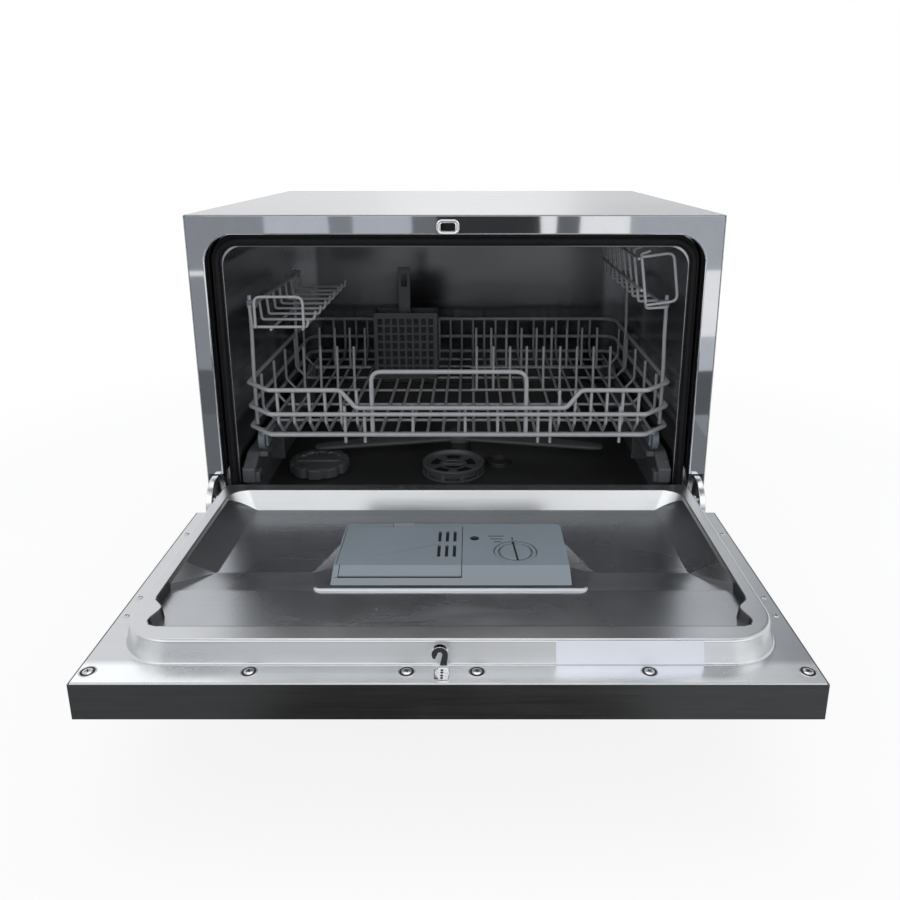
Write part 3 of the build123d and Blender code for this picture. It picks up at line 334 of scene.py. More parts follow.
def brushed(name, colour, rough=0.28, grain=(14, 700, 700), strength=0.06, contrast=0.10, smudge=0.06, aniso=0.0):
    """Rolled or brushed steel: fine lines along one direction, with faint handling marks."""
    mat, tree, shader = principled(name)
    lines = noise(tree, stretched(tree, grain), 1.0, 5.0, 0.6)
    cloud = noise(tree, stretched(tree, (9, 9, 9)), 1.0, 3.0, 0.5, 0.4)
    colour_out = ramp(tree, lines, [(0.3, tinted(colour, 1 - contrast)), (0.7, tinted(colour, 1 + contrast))])
    tree.links.new(colour_out, shader.inputs["Base Color"])
    add = tree.nodes.new("ShaderNodeMath")
    add.operation = "ADD"
    tree.links.new(spread(tree, lines, 0.3, 0.7, rough - 0.04, rough + 0.05), add.inputs[0])
    tree.links.new(spread(tree, cloud, 0.45, 0.75, 0.0, smudge), add.inputs[1])
    tree.links.new(add.outputs[0], shader.inputs["Roughness"])
    tree.links.new(bump(tree, lines, strength, 0.0004), shader.inputs["Normal"])
    shader.inputs["Metallic"].default_value = 1.0
    shader.inputs["Anisotropic"].default_value = aniso
    return mat


def satin(name, colour, rough, painted_light_zones=()):
    """Smooth pressed steel: a faint rolled grain, soft clouding and wipe marks.

    Each zone paints light or shade into the tone: a factor above 1 is painted reflection, below 1 painted shade, with
    the (axis, start, end) fades that lead into it."""
    mat, tree, shader = principled(name)
    grain = noise(tree, stretched(tree, (6, 260, 260)), 1.0, 3.0, 0.5)
    cloud = noise(tree, stretched(tree, (7, 7, 7)), 1.0, 3.0, 0.5, 0.5)
    wipes = noise(tree, stretched(tree, (5, 40, 40)), 1.0, 4.0, 0.6, 0.8)
    tone = ramp(tree, grain, [(0.3, tinted(colour, 0.985)), (0.7, tinted(colour, 1.015))])
    # Painted light: each zone scales the tone where a piece should look as if it faced brighter or darker surroundings.
    if painted_light_zones:
        place = tree.nodes.new("ShaderNodeSeparateXYZ")
        tree.links.new(stretched(tree, (1, 1, 1)), place.inputs[0])
        axes = {"X": place.outputs["X"], "Y": place.outputs["Y"]}
        width = tree.nodes.new("ShaderNodeMath")
        width.operation = "ABSOLUTE"
        tree.links.new(axes["X"], width.inputs[0])
        axes["width"] = width.outputs[0]
    for factor, fades in painted_light_zones:
        mask = None
        for axis, start, end in fades:
            fade = spread(tree, axes[axis], start, end, 0.0, 1.0)
            if mask is not None:
                product = tree.nodes.new("ShaderNodeMath")
                product.operation = "MULTIPLY"
                tree.links.new(mask, product.inputs[0])
                tree.links.new(fade, product.inputs[1])
                fade = product.outputs[0]
            mask = fade
        scale = tree.nodes.new("ShaderNodeVectorMath")
        scale.operation = "SCALE"
        tree.links.new(tone, scale.inputs[0])
        tree.links.new(spread(tree, mask, 0.0, 1.0, 1.0, factor), scale.inputs["Scale"])
        tone = scale.outputs[0]
    tree.links.new(tone, shader.inputs["Base Color"])
    add = tree.nodes.new("ShaderNodeMath")
    add.operation = "ADD"
    tree.links.new(spread(tree, cloud, 0.35, 0.7, rough - 0.02, rough + 0.05), add.inputs[0])
    tree.links.new(spread(tree, wipes, 0.55, 0.8, 0.0, 0.06), add.inputs[1])
    tree.links.new(add.outputs[0], shader.inputs["Roughness"])
    hair = noise(tree, stretched(tree, (9, 1300, 1300)), 1.0, 1.0, 0.5)
    tree.links.new(bump(tree, hair, 0.09, 0.0004), shader.inputs["Normal"])
    shader.inputs["Metallic"].default_value = 1.0
    return mat


def polished(name, colour, rough=0.07, wave=0.05, smudge=0.05):
    """Mirror-bright sheet: slight waviness, faint fingermarks."""
    mat, tree, shader = principled(name)
    swell = noise(tree, stretched(tree, (7, 7, 7)), 1.0, 2.0, 0.4, 0.5)
    marks = noise(tree, stretched(tree, (60, 60, 60)), 1.0, 5.0, 0.6, 0.6)
    tree.links.new(ramp(tree, marks, [(0.35, tinted(colour, 0.97)), (0.75, tinted(colour, 1.02))]),
                   shader.inputs["Base Color"])
    tree.links.new(spread(tree, marks, 0.5, 0.8, rough, rough + smudge), shader.inputs["Roughness"])
    tree.links.new(bump(tree, swell, wave, 0.02), shader.inputs["Normal"])
    shader.inputs["Metallic"].default_value = 1.0
    return mat


def moulded(name, colour, rough=0.42, grain=900.0, strength=0.12, vary=0.05, coat=0.0, scuff=0.05, specular=0.5):
    """Moulded plastic: fine spark-eroded grain, slight tone changes, scuffs that catch the light."""
    mat, tree, shader = principled(name)
    vector = stretched(tree, (1, 1, 1))
    fine = noise(tree, vector, grain, 3.0, 0.6)
    soft = noise(tree, vector, 22.0, 4.0, 0.55, 0.3)
    tree.links.new(ramp(tree, soft, [(0.3, tinted(colour, 1 - vary)), (0.72, tinted(colour, 1 + vary))]),
                   shader.inputs["Base Color"])
    tree.links.new(spread(tree, soft, 0.4, 0.75, rough, rough + scuff), shader.inputs["Roughness"])
    tree.links.new(bump(tree, fine, strength, 0.0002), shader.inputs["Normal"])
    shader.inputs["Coat Weight"].default_value = coat
    shader.inputs["Specular IOR Level"].default_value = specular
    return mat


def coated(name, colour, rough=0.33):
    """Dipped nylon coating on wire: smooth, with soft runs and a thin gloss."""
    mat, tree, shader = principled(name)
    vector = stretched(tree, (1, 1, 1))
    runs = noise(tree, vector, 120.0, 3.0, 0.5, 0.2)
    tree.links.new(ramp(tree, runs, [(0.3, tinted(colour, 0.93)), (0.7, tinted(colour, 1.05))]),
                   shader.inputs["Base Color"])
    tree.links.new(spread(tree, runs, 0.35, 0.7, rough - 0.05, rough + 0.08), shader.inputs["Roughness"])
    tree.links.new(bump(tree, runs, 0.12, 0.0006), shader.inputs["Normal"])
    shader.inputs["Coat Weight"].default_value = 0.25
    shader.inputs["Coat Roughness"].default_value = 0.18
    return mat


def rubber(name, colour=(0.007, 0.007, 0.008), rough=0.6):
    mat, tree, shader = principled(name)
    vector = stretched(tree, (1, 1, 1))
    bloom = noise(tree, vector, 90.0, 4.0, 0.6)
    tree.links.new(ramp(tree, bloom, [(0.35, tinted(colour, 0.8)), (0.7, tinted(colour, 1.7))]),
                   shader.inputs["Base Color"])
    tree.links.new(spread(tree, bloom, 0.3, 0.7, rough - 0.08, rough + 0.12), shader.inputs["Roughness"])
    tree.links.new(bump(tree, bloom, 0.15, 0.0005), shader.inputs["Normal"])
    shader.inputs["Specular IOR Level"].default_value = 0.22
    return mat


def enamel(name, colour, rough=0.30):
    """Satin lacquer on sheet metal: very fine peel."""
    mat, tree, shader = principled(name)
    vector = stretched(tree, (1, 1, 1))
    peel = noise(tree, vector, 420.0, 1.0, 0.5)
    tone = noise(tree, vector, 3.0, 2.0, 0.5)
    tree.links.new(ramp(tree, tone, [(0.3, tinted(colour, 0.97)), (0.7, tinted(colour, 1.02))]),
                   shader.inputs["Base Color"])
    tree.links.new(spread(tree, tone, 0.3, 0.7, rough - 0.03, rough + 0.04), shader.inputs["Roughness"])
    tree.links.new(bump(tree, peel, 0.01, 0.0002), shader.inputs["Normal"])
    shader.inputs["Metallic"].default_value = 0.35
    shader.inputs["Coat Weight"].default_value = 0.1
    shader.inputs["Coat Roughness"].default_value = 0.4
    return mat


M = {
    "case": enamel("case_lacquer", (0.57, 0.575, 0.585)),
    "frame": polished("frame_steel", (0.66, 0.675, 0.70), 0.035, 0.012, 0.015),
    "chrome": polished("chrome", (0.80, 0.81, 0.83), 0.06),
    "arm": polished("arm_steel", (0.74, 0.75, 0.77), 0.25),
    # Painted light: the tub's steel is a far darker copy of the door's steel, which is painted shade inside the tub.
    # Its side walls are painted 2.6 times lighter (painted reflection) and its back darker (painted shade).
    "tub": satin("tub_steel", (0.17, 0.175, 0.183), 0.20,
                 ((2.6, (("width", 0.228, 0.236),)), (0.65, (("Y", 0.20, 0.33),)))),
    "door_outer": brushed("door_steel", (0.21, 0.207, 0.203), 0.34, (16, 800, 800), 0.03, 0.07),
    "liner": satin("liner_steel", (0.60, 0.615, 0.635), 0.29),
    # Painted highlight: the liner's steel again, painted 1.6 times lighter along the front strip of the flange.
    "flats": satin("flange_steel_painted_highlight", (0.60, 0.615, 0.635), 0.29, ((1.6, (("Y", -0.370, -0.377),)),)),
    # Painted light: a lighter copy of the liner's steel, so the dish's back wall reads bright (painted reflection). The
    # side walls are painted about a quarter as light (painted shade).
    "walls": satin("dish_wall_steel_painted_light", (0.66, 0.675, 0.69), 0.30, ((0.26, (("Y", -0.120, -0.150),)),)),
    # Painted light: a darker copy of the liner's steel, painted darker again at the back (painted shade) and 1.7 times
    # lighter over the middle of the front panel (painted reflection).
    "dish": satin("dish_steel_painted_light", (0.46, 0.475, 0.50), 0.255,
                  ((0.66, (("Y", -0.165, -0.125),)), (1.7, (("Y", -0.275, -0.292), ("width", 0.20, 0.08))))),
    "bare": brushed("bare_steel", (0.42, 0.42, 0.43), 0.33, (40, 300, 300), 0.08, 0.10),
    "screw": polished("screw_steel", (0.55, 0.56, 0.58), 0.18),
    # Painted shade: dark steel for the crosses on the screw heads, standing for the shade in their cross recesses.
    "painted_shade_metal": polished("painted_shade_steel", (0.10, 0.10, 0.11), 0.35),
    "rubber": rubber("black_rubber"),
    "dark": moulded("dark_plastic", (0.055, 0.057, 0.060), 0.42, 800, 0.12, 0.10),
    "floor_dark": moulded("tub_floor_plastic", (0.040, 0.041, 0.043), 0.36, 700, 0.10, 0.12),
    "cap_dark": moulded("cap_plastic", (0.13, 0.135, 0.14), 0.38, 800, 0.12, 0.10),
    "base": moulded("base_plastic", (0.055, 0.055, 0.058), 0.50, 600, 0.15, 0.08),
    "grey": moulded("grey_plastic", (0.23, 0.24, 0.255), 0.40, 800, 0.10, 0.06),
    "rail": moulded("rail_plastic", (0.13, 0.135, 0.145), 0.40, 800, 0.10, 0.06),
    "pale": moulded("pale_plastic", (0.60, 0.61, 0.62), 0.42, 800, 0.10, 0.04),
    "wheel": moulded("wheel_plastic", (0.20, 0.235, 0.275), 0.36, 800, 0.08, 0.05),
    "dispenser": moulded("dispenser_plastic", (0.245, 0.288, 0.325), 0.42, 1100, 0.10, 0.03, 0.0, 0.05),
    "catch": moulded("catch_plastic", (0.27, 0.31, 0.345), 0.36, 1100, 0.10, 0.03),
    "window": moulded("window_plastic", (0.012, 0.012, 0.016), 0.08, 400, 0.02, 0.10, 0.6),
    "gloss": moulded("fascia_gloss", (0.018, 0.018, 0.020), 0.12, 400, 0.02, 0.10, 0.5),
    # Painted shade: near-black for holes, slots, gaps and grooves, standing for the shade inside them.
    "recess": moulded("painted_shade_black", (0.006, 0.006, 0.007), 0.7, 500, 0.05, 0.10),
    "board": moulded("circuit_board", (0.02, 0.10, 0.04), 0.45, 300, 0.10, 0.10),
    "wire": coated("coated_wire", (0.40, 0.41, 0.425)),
    "plate": moulded("blank_plate", (0.80, 0.83, 0.90), 0.34, 500, 0.03, 0.02),
    "felt": moulded("felt_pad", (0.09, 0.09, 0.09), 0.9, 350, 0.5, 0.25, 0.0, 0.05, 0.2),
}

# ---------------------------------------------------------------- cabinet: casing and frame

refined("outer_wrap", M["case"], 0.35, 2)
refined("rear_panel", M["case"], 0.3, 2)
refined("plinth", M["door_outer"], 0.5, 2)
refined("base_tray", M["base"], 0.8, 2)
refined("latch_housing", M["dark"], 0.2, 1)
refined("latch_catch", M["pale"], 0.4, 2)

OPEN_HALF, OPEN_TOP, OPEN_R, LEG_BOTTOM = 257.0, 417.5, 30.0, 155.5
FRAME_HALF, FRAME_TOP = 273.8, 436.8
frame_shape = Shape()
opening = doorway(OPEN_HALF, OPEN_TOP, LEG_BOTTOM, OPEN_R, 20)
roll = 1.7
lip = [(0.0, 24.0), (0.0, roll)]
for k in range(1, 8):
    a = math.pi / 2 * k / 8
    lip.append((roll - roll * math.cos(a), roll - roll * math.sin(a)))
lip.append((roll, 0.0))
sweep_doorway(frame_shape, opening, lip)
sweep_doorway(frame_shape, opening, [(1.2, 24.0), (0.0, 24.0)])
inner = [(x + nx * roll, z + nz * roll) for (x, z), (nx, nz) in opening]
ease = 0.5
outer = [(-FRAME_HALF + ease, LEG_BOTTOM), (-FRAME_HALF + ease, FRAME_TOP - 1.2),
         (-FRAME_HALF + 1.2, FRAME_TOP - ease), (FRAME_HALF - 1.2, FRAME_TOP - ease),
         (FRAME_HALF - ease, FRAME_TOP - 1.2), (FRAME_HALF - ease, LEG_BOTTOM)]
SLOT_X, SLOT_Z = -7.0, 425.6


def slot_loop(w, h, r, steps=8):
    out = []
    for cx, cz, start in ((1, 1, 0), (-1, 1, 90), (-1, -1, 180), (1, -1, 270)):
        for k in range(steps + 1):
            a = math.radians(start + 90 * k / steps)
            out.append((SLOT_X + cx * (w / 2 - r) + r * math.cos(a), SLOT_Z + cz * (h / 2 - r) + r * math.sin(a)))
    return out


frame_shape.sheet([outer + inner[::-1], slot_loop(20.4, 11.4, 4.2)], lambda a, b: (a, 0.0, b))
edge = [(-FRAME_HALF, LEG_BOTTOM), (-FRAME_HALF, FRAME_TOP - 1.2), (-FRAME_HALF + 1.2, FRAME_TOP),
        (FRAME_HALF - 1.2, FRAME_TOP), (FRAME_HALF, FRAME_TOP - 1.2), (FRAME_HALF, LEG_BOTTOM)]
frame_shape.grid([[(x, 0.0, z) for x, z in outer], [(x, ease, z) for x, z in edge], [(x, 22.0, z) for x, z in edge]])
for side in (-1, 1):
    a, b = side * OPEN_HALF, side * FRAME_HALF
    frame_shape.grid([[(a, roll, LEG_BOTTOM), (b, 0.6, LEG_BOTTOM)], [(a, 24, LEG_BOTTOM), (b, 22, LEG_BOTTOM)]])
frame_shape.make("front_frame_polished", M["frame"], "cabinet", 0, 1, 30, ("front_frame",))

# Chrome bezel: a rounded outer ring, a groove, and a bright inner ledge round the slot.
BEZEL_STEPS = ((23.0, 15.0, 5.6, 0.0), (22.7, 14.7, 5.5, -0.22), (21.9, 13.9, 5.1, -0.38), (20.6, 12.6, 4.6, -0.4),
               (19.4, 11.4, 4.1, -0.3), (18.7, 10.7, 3.8, -0.05), (18.3, 10.3, 3.6, 0.4), (17.8, 10.0, 3.4, 0.4),
               (17.2, 9.5, 3.1, -0.1), (15.8, 8.5, 2.5, -0.25), (14.9, 7.8, 2.0, 0.1), (14.4, 7.4, 1.8, 1.0),
               (14.4, 7.4, 1.8, 4.0))
bezel = Shape()
bezel.grid([[(x, y, z) for x, z in slot_loop(w, h, r)] for w, h, r, y in BEZEL_STEPS], close=True)
bezel.make("latch_bezel_ring", M["chrome"], "cabinet", 0, 1, 50, ("latch_bezel",))

# ---------------------------------------------------------------- cabinet: tub

refined("tub", M["tub"], 0.4, 2, 30)
refined("tub_floor", M["floor_dark"], 1.2, 3)
refined("lower_seal", M["rubber"], 0.8, 2)
RAIL_OUT, RAIL_IN, RAIL_TOP = 245.4, 221.4, 160.7
for name, side in (("left", -1), ("right", 1)):
    rail = Shape()
    slope = [(30.5, 149.8), (36, 150.6), (52, 159.0), (56, RAIL_TOP), (420, RAIL_TOP), (420, 154.7), (56, 154.7),
             (40, 147.5), (40, 132), (28.8, 132), (28.2, 148.6)]
    rail.grid([[(side * x, y, z) for y, z in slope] for x in (RAIL_OUT - 14.5, RAIL_OUT)], close=True, cap_start=True,
              cap_end=True)
    rail.box(sorted((side * RAIL_IN, side * (RAIL_OUT - 14.7))), (52, 420), (154.7, RAIL_TOP))
    rail.box(sorted((side * (RAIL_OUT - 5), side * RAIL_OUT)), (40, 420), (92.3, 154.7))
    for depth in (130, 230, 330):
        rail.box(sorted((side * RAIL_IN, side * (RAIL_OUT - 5))), (depth, depth + 4), (120, 154.7))
    rail.make(f"rail_{name}_ledge", M["rail"], "cabinet", 0.9, 3, 35, (f"rail_{name}",))
    peg = Shape()
    peg.box(sorted((side * 226.4, side * 232.4)), (31, 44), (132, 143.6))
    peg.box(sorted((side * 226.4, side * (RAIL_OUT - 14))), (36, 44), (132, 138))
    peg.make(f"rail_{name}_peg", M["rail"], "cabinet", 0.7, 3)
for name in ("sump", "wash_pump", "drain_pump", "air_breaker", "softener"):
    refined(name, M["dark"] if name in ("sump", "softener") else M["pale"], 0.8, 2)
refined("heater", M["bare"], 0.6, 2)
refined("spray_post", M["dark"], 0.4, 2)
for name in ("hinge_bracket_left", "hinge_bracket_right"):
    refined(name, M["bare"], 0.4, 2)

gasket = Shape()
bulb = [(0.0, 23.6), (1.0, 23.6), (1.0, 20.6), (0.86, 18.6), (0.72, 18.8), (0.62, 17.4), (0.46, 16.7), (0.28, 16.8),
        (0.12, 17.8), (0.02, 19.6)]
rows = []
for (near, _), (far, _) in zip(doorway(247.5, 404.0, 128.3, 19.5, 16), doorway(256.6, 417.1, 128.3, 29.6, 16)):
    rows.append([(near[0] + (far[0] - near[0]) * t, y, near[1] + (far[1] - near[1]) * t) for t, y in bulb])
gasket.grid(rows, close=True, cap_start=True, cap_end=True)
gasket.make("door_gasket_bulb", M["rubber"], "cabinet", 0, 1, 50, ("door_gasket",))

# ---------------------------------------------------------------- fittings at the back and feet

feet = Shape()
for x in (-235, 235):
    for y in (60, 410):
        feet.lathe([(15.5, 0.0), (17.4, 0.5), (18, 2.2), (17.6, 5.5), (16.4, 7.0), (16.4, 9.5), (14, 11.7)],
                   (x, y, 0), "z", 40)
feet.make("feet_moulded", M["rubber"], "cabinet", 0, 1, 40, ("feet",))

inlet = Shape()
inlet.box((-212, -168), (418, 452), (38, 78))
inlet.make("inlet_valve_block", M["pale"], "cabinet", 1.2, 3, 35, ("inlet_valve",))
thread = Shape()
profile = [(8.0, 30.0), (11.6, 30.0), (12.2, 29.4)]
for k in range(11):
    y = 28.6 - k * 1.8
    profile += [(13.2, y), (12.2, y - 0.9)]
profile += [(12.2, 8.0), (12.8, 5.0), (8.0, 5.0)]
thread.lathe([(r, h - 5.0) for r, h in profile], (-190, 452, 58), "y", 48, False, False)
thread.make("inlet_thread", M["pale"], "cabinet", 0, 1, 60)

spigot = Shape()
spigot.lathe([(7.5, 36), (8.6, 36), (9.5, 34), (9.5, 30), (8.7, 29.4), (8.7, 27), (9.5, 24), (9.5, 11),
              (14, 9), (14, 1), (7.5, 1)], (-128, 441, 46), "y", 40, False, False)
spigot.make("drain_spigot_turned", M["dark"], "cabinet", 0, 1, 40, ("drain_spigot",))

gland = Shape()
gland.lathe([(4.2, 20), (6.8, 20), (7.8, 18.6), (8.6, 17.8), (12.0, 17.6), (12.4, 16.9), (12.4, 12.8), (11.8, 12.2),
             (9.1, 12.2), (9.1, 0), (4.2, 0)], (178, 447, 56), "y", 48, False, False, 6, 0.0)
gland.make("cable_gland_turned", M["dark"], "cabinet", 0, 1, 40, ("cable_gland",))

rear_screws = Shape()
for x in (-262, 262):
    for z in (112, 270, 424):
        rear_screws.lathe([(3.6, 0.0), (3.5, 0.9), (2.6, 1.7), (0.8, 2.0)], (x, 476, z), "y", 24)
rear_screws.make("rear_screws", M["screw"], "cabinet", 0, 1, 40)

# ---------------------------------------------------------------- tub floor pieces

arm = Shape()
ARM_Y, ARM_Z = 236.0, 112.0
for start in (193.0, 347.0):
    a = math.radians(start)
    d, n = (math.cos(a), math.sin(a)), (-math.sin(a), math.cos(a))
    rows = []
    for s, w, t in ((0, 16.5, 3.9), (25, 16.4, 4.0), (60, 15.4, 4.0), (110, 13.2, 3.9), (160, 11.2, 3.6),
                    (186, 10.2, 3.3), (196, 8.6, 2.8), (200, 5.0, 1.6)):
        row = []
        for k in range(20):
            b = 2 * math.pi * k / 20
            u = math.copysign(abs(math.cos(b)) ** 0.6, math.cos(b)) * w
            v = math.copysign(abs(math.sin(b)) ** 0.8, math.sin(b)) * t
            row.append((d[0] * s + n[0] * u, ARM_Y + d[1] * s + n[1] * u, ARM_Z + v))
        rows.append(row)
    arm.grid(rows, close=True, cap_start=True, cap_end=True)
arm.lathe([(6.05, -5.6), (19, -5.6), (21, -4.4), (21, 2.0), (19.5, 4.2), (13, 5.2), (11.5, 6.9), (6.05, 7.0)],
          (0, ARM_Y, ARM_Z), "z", 56, False, False)
# Painted shade: black discs at the nozzles stand for the shade in their holes.
nozzle_holes = Shape()
for start in (193.0, 347.0):
    a = math.radians(start)
    for reach in (60, 95, 130, 165, 188):
        c = (reach * math.cos(a), ARM_Y + reach * math.sin(a), ARM_Z)
        top = 3.9 if reach < 150 else 3.3
        arm.lathe([(4.4, top - 0.6), (4.2, top + 0.05), (3.0, top + 0.12), (2.0, top - 0.2)], c, "z", 20)
        nozzle_holes.lathe([(1.7, top - 0.3), (1.7, top - 0.1)], c, "z", 16)
arm.make("spray_arm_moulded", M["cap_dark"], "spray_arm", 0, 1, 40, ("spray_arm",))
nozzle_holes.make("spray_arm_nozzle_shade", M["recess"], "spray_arm", 0, 1, 40)

FX, FY, FLOOR = -7.0, 156.0, 92.0
COLLAR = 15.0
filt = Shape()
filt.lathe([(37, 2.0), (37, 0.3), (40.6, 0.3), (41, 0.7), (41, 1.6), (40.4, 2.1), (37, 2.1)], (FX, FY, FLOOR), "z", 72,
           False, False)
for low, high in ((6.0, 7.2),):
    filt.lathe([(37.2, low), (39.5, low), (39.7, low + 0.4), (39.5, high), (37.2, high), (37.2, low)],
               (FX, FY, FLOOR), "z", 72, False, False)
filt.lathe([(37, 9.8), (39.6, 9.8), (40.5, 11.0), (40.6, 13.8), (39.6, 14.9), (37.6, 14.9), (36.6, 14.0),
            (35.6, 10.2), (24.0, 9.6), (13.4, 9.8), (13, 9.2), (13, 8.0), (38, 8.0), (37, 9.8)], (FX, FY, FLOOR),
           "z", 72, False, False)
for k in range(10):
    a = math.radians(36 * k)
    c, n = (math.cos(a), math.sin(a)), (-math.sin(a), math.cos(a))
    base = [(FX + c[0] * r + n[0] * w, FY + c[1] * r + n[1] * w) for r, w in
            ((36.8, -2.6), (39.8, -2.6), (39.8, 2.6), (36.8, 2.6))]
    filt.grid([[(x, y, FLOOR + z) for x, y in base] for z in (1.8, 10.4)], close=True, cap_start=True, cap_end=True)
filt.lathe([(33.3, -33.8), (33.5, -33.0), (33.5, 8.2), (31.2, 8.2), (31.2, -31.5), (0.5, -31.5)], (FX, FY, FLOOR),
           "z", 64, True, True)
filt.make("filter_collar", M["cap_dark"], "filter_unit", 0, 1, 40, ("filter_unit",))
# Painted shade: black strips in the funnel stand for the shade in its slots.
funnel_slots = Shape()
for k in range(5):
    a = math.radians(90 + 72 * k)
    row_in, row_out = [], []
    for step in range(9):
        b = a + math.radians(-21 + 42 * step / 8)
        row_in.append((FX + 18.5 * math.cos(b), FY + 18.5 * math.sin(b), FLOOR + 10.0))
        row_out.append((FX + 29.5 * math.cos(b), FY + 29.5 * math.sin(b), FLOOR + 10.1))
    funnel_slots.grid([row_in, row_out])
funnel_slots.make("filter_slot_shade", M["recess"], "filter_unit", 0, 1, 40)
filter_bar = Shape()
filter_bar.box((FX - 14, FX + 14), (FY - 2, FY + 2), (FLOOR + 7.2, FLOOR + 11.6))
filter_bar.make("filter_bar", M["cap_dark"], "filter_unit", 1.0, 3)

SX, SY = -184.0, 161.0
salt = Shape()
salt.lathe([(30, 1.9), (38.6, 1.9), (39, 2.6), (39, 12.6), (38.4, 14.0), (36.8, 15.0), (30.5, 15.0), (29.4, 14.2),
            (28.8, 12.4), (2.0, 12.2)], (SX, SY, FLOOR), "z", 160, True, True, 10, 3.4)
salt.make("salt_cap_scalloped", M["cap_dark"], "salt_cap", 0, 1, 40, ("salt_cap",))
salt_grip = Shape()
salt_grip.box((SX - 27, SX + 27), (SY - 4, SY + 4), (FLOOR + 10, FLOOR + 15))
salt_grip.make("salt_cap_grip", M["cap_dark"], "salt_cap", 1.5, 3)

# ---------------------------------------------------------------- hinges

ARM_IN, ARM_OUT, ARM_X, ARM_WIDE = 24.5, 28.0, 262.0, 6.6
PLATE_Y = -37.4
band = [(ARM_IN + 0.6, 0), (ARM_OUT - 0.8, 0), (ARM_OUT - 0.2, 0.3), (ARM_OUT, 0.9), (ARM_OUT, ARM_WIDE - 0.9),
        (ARM_OUT - 0.2, ARM_WIDE - 0.3), (ARM_OUT - 0.8, ARM_WIDE), (ARM_IN + 0.6, ARM_WIDE),
        (ARM_IN + 0.1, ARM_WIDE - 0.3), (ARM_IN, ARM_WIDE - 0.8), (ARM_IN, 0.8), (ARM_IN + 0.1, 0.3)]
plate_line = [(PLATE_Y, -18), (PLATE_Y + 2.5, -18), (PLATE_Y + 2.5, -9), (-ARM_IN, -7), (-ARM_IN, -1),
              (PLATE_Y + 2.5, 0), (PLATE_Y + 2.5, 1.4), (PLATE_Y, 1.4)]
web_line = [(PLATE_Y + 1, -6.5), (-5.5, -6.5), (-5.5, -0.5), (PLATE_Y + 1, -0.5)]
for name, side in (("left", -1), ("right", 1)):
    hinge = Shape()
    rows = []
    for k in range(49):
        a = math.radians(-8.4 + 203.9 * k / 48)
        rows.append([(side * (ARM_X + w), PIVOT_Y + r * math.cos(a), PIVOT_Z + r * math.sin(a)) for r, w in band])
    hinge.grid(rows, close=True, cap_start=True, cap_end=True)
    hinge.make(f"hinge_arm_{name}_band", M["arm"], "door", 0, 1, 50, (f"hinge_arm_{name}",))
    eye = Shape()
    eye.lathe([(3.3, 0.0), (6.3, 0.0), (6.5, side * 0.2), (6.5, side * 2.4), (6.3, side * 2.6), (3.3, side * 2.6),
               (3.3, 0.0)], (side * ARM_X, PIVOT_Y, PIVOT_Z), "x", 40, False, False)
    eye.make(f"hinge_arm_{name}_eye", M["arm"], "door", 0, 1, 40)
    foot = Shape()
    for line, wide in ((plate_line, ARM_WIDE), (web_line, 2.6)):
        foot.grid([[(side * (ARM_X + w), PIVOT_Y + y, PIVOT_Z + z) for y, z in line] for w in (0.0, wide)], close=True,
                  cap_start=True, cap_end=True)
    foot.make(f"hinge_arm_{name}_foot", M["arm"], "door", 0.4, 2)

# ---------------------------------------------------------------- door: steel pan and liner

refined("door_outer_panel", M["door_outer"], 0.45, 3)
for name, key in (("door_insulation", "felt"), ("control_board", "board")):
    refined(name, M[key], 0.3, 1)

RING_HALF, RING_FRONT, RING_BACK, RING_R = 255.3, -293.2, -6.0, 42.0
LINER_HALF = 273.7
lean, front_lean = math.tan(math.radians(8)), math.tan(math.radians(17))


def ring_loop(offset, z, ahead=None):
    """A loop round the raised ring; offset is inwards from its foot, ahead the same for the front alone."""
    front_edge = RING_FRONT + (offset if ahead is None else ahead)
    return [(x, y, z) for x, y in rounded_rect(RING_HALF - offset, front_edge, RING_BACK - min(offset, 9),
                                               max(RING_R - offset * 0.5, 4), max(10 - offset, 2.5))]


FRONT_Z, BAND_Z, REAR_Z, SIDE_Z = 138.0, 132.5, 126.8, 144.2
CREASE, BAND_END, DISH_END = -206.0, -168.0, -30.0
RIM_LEFT = [(0, -270), (-60, -270), (-120, -270), (-180, -270), (-227, -270), (-232.5, -268), (-235.2, -263),
            (-235, -259), (-231.6, -249), (-231.2, -245), (-233, -241.5), (-240, -234), (-241, -229), (-241, CREASE),
            (-241, CREASE + 1), (-241, BAND_END), (-241, -106), (-241, -64.5), (-241, -44.5)]


def rear_z(y):
    return BAND_Z + (y - BAND_END) * (REAR_Z - BAND_Z) / (DISH_END - BAND_END)


def side_z(y):
    """Height of the dish at the foot of its side walls."""
    stops = ((-400.0, FRONT_Z), (CREASE, FRONT_Z), (CREASE + 1, 143.9), (-44.0, SIDE_Z), (0.0, SIDE_Z))
    for (ya, za), (yb, zb) in zip(stops, stops[1:]):
        if y <= yb:
            return za + (y - ya) / (yb - ya) * (zb - za)
    return SIDE_Z


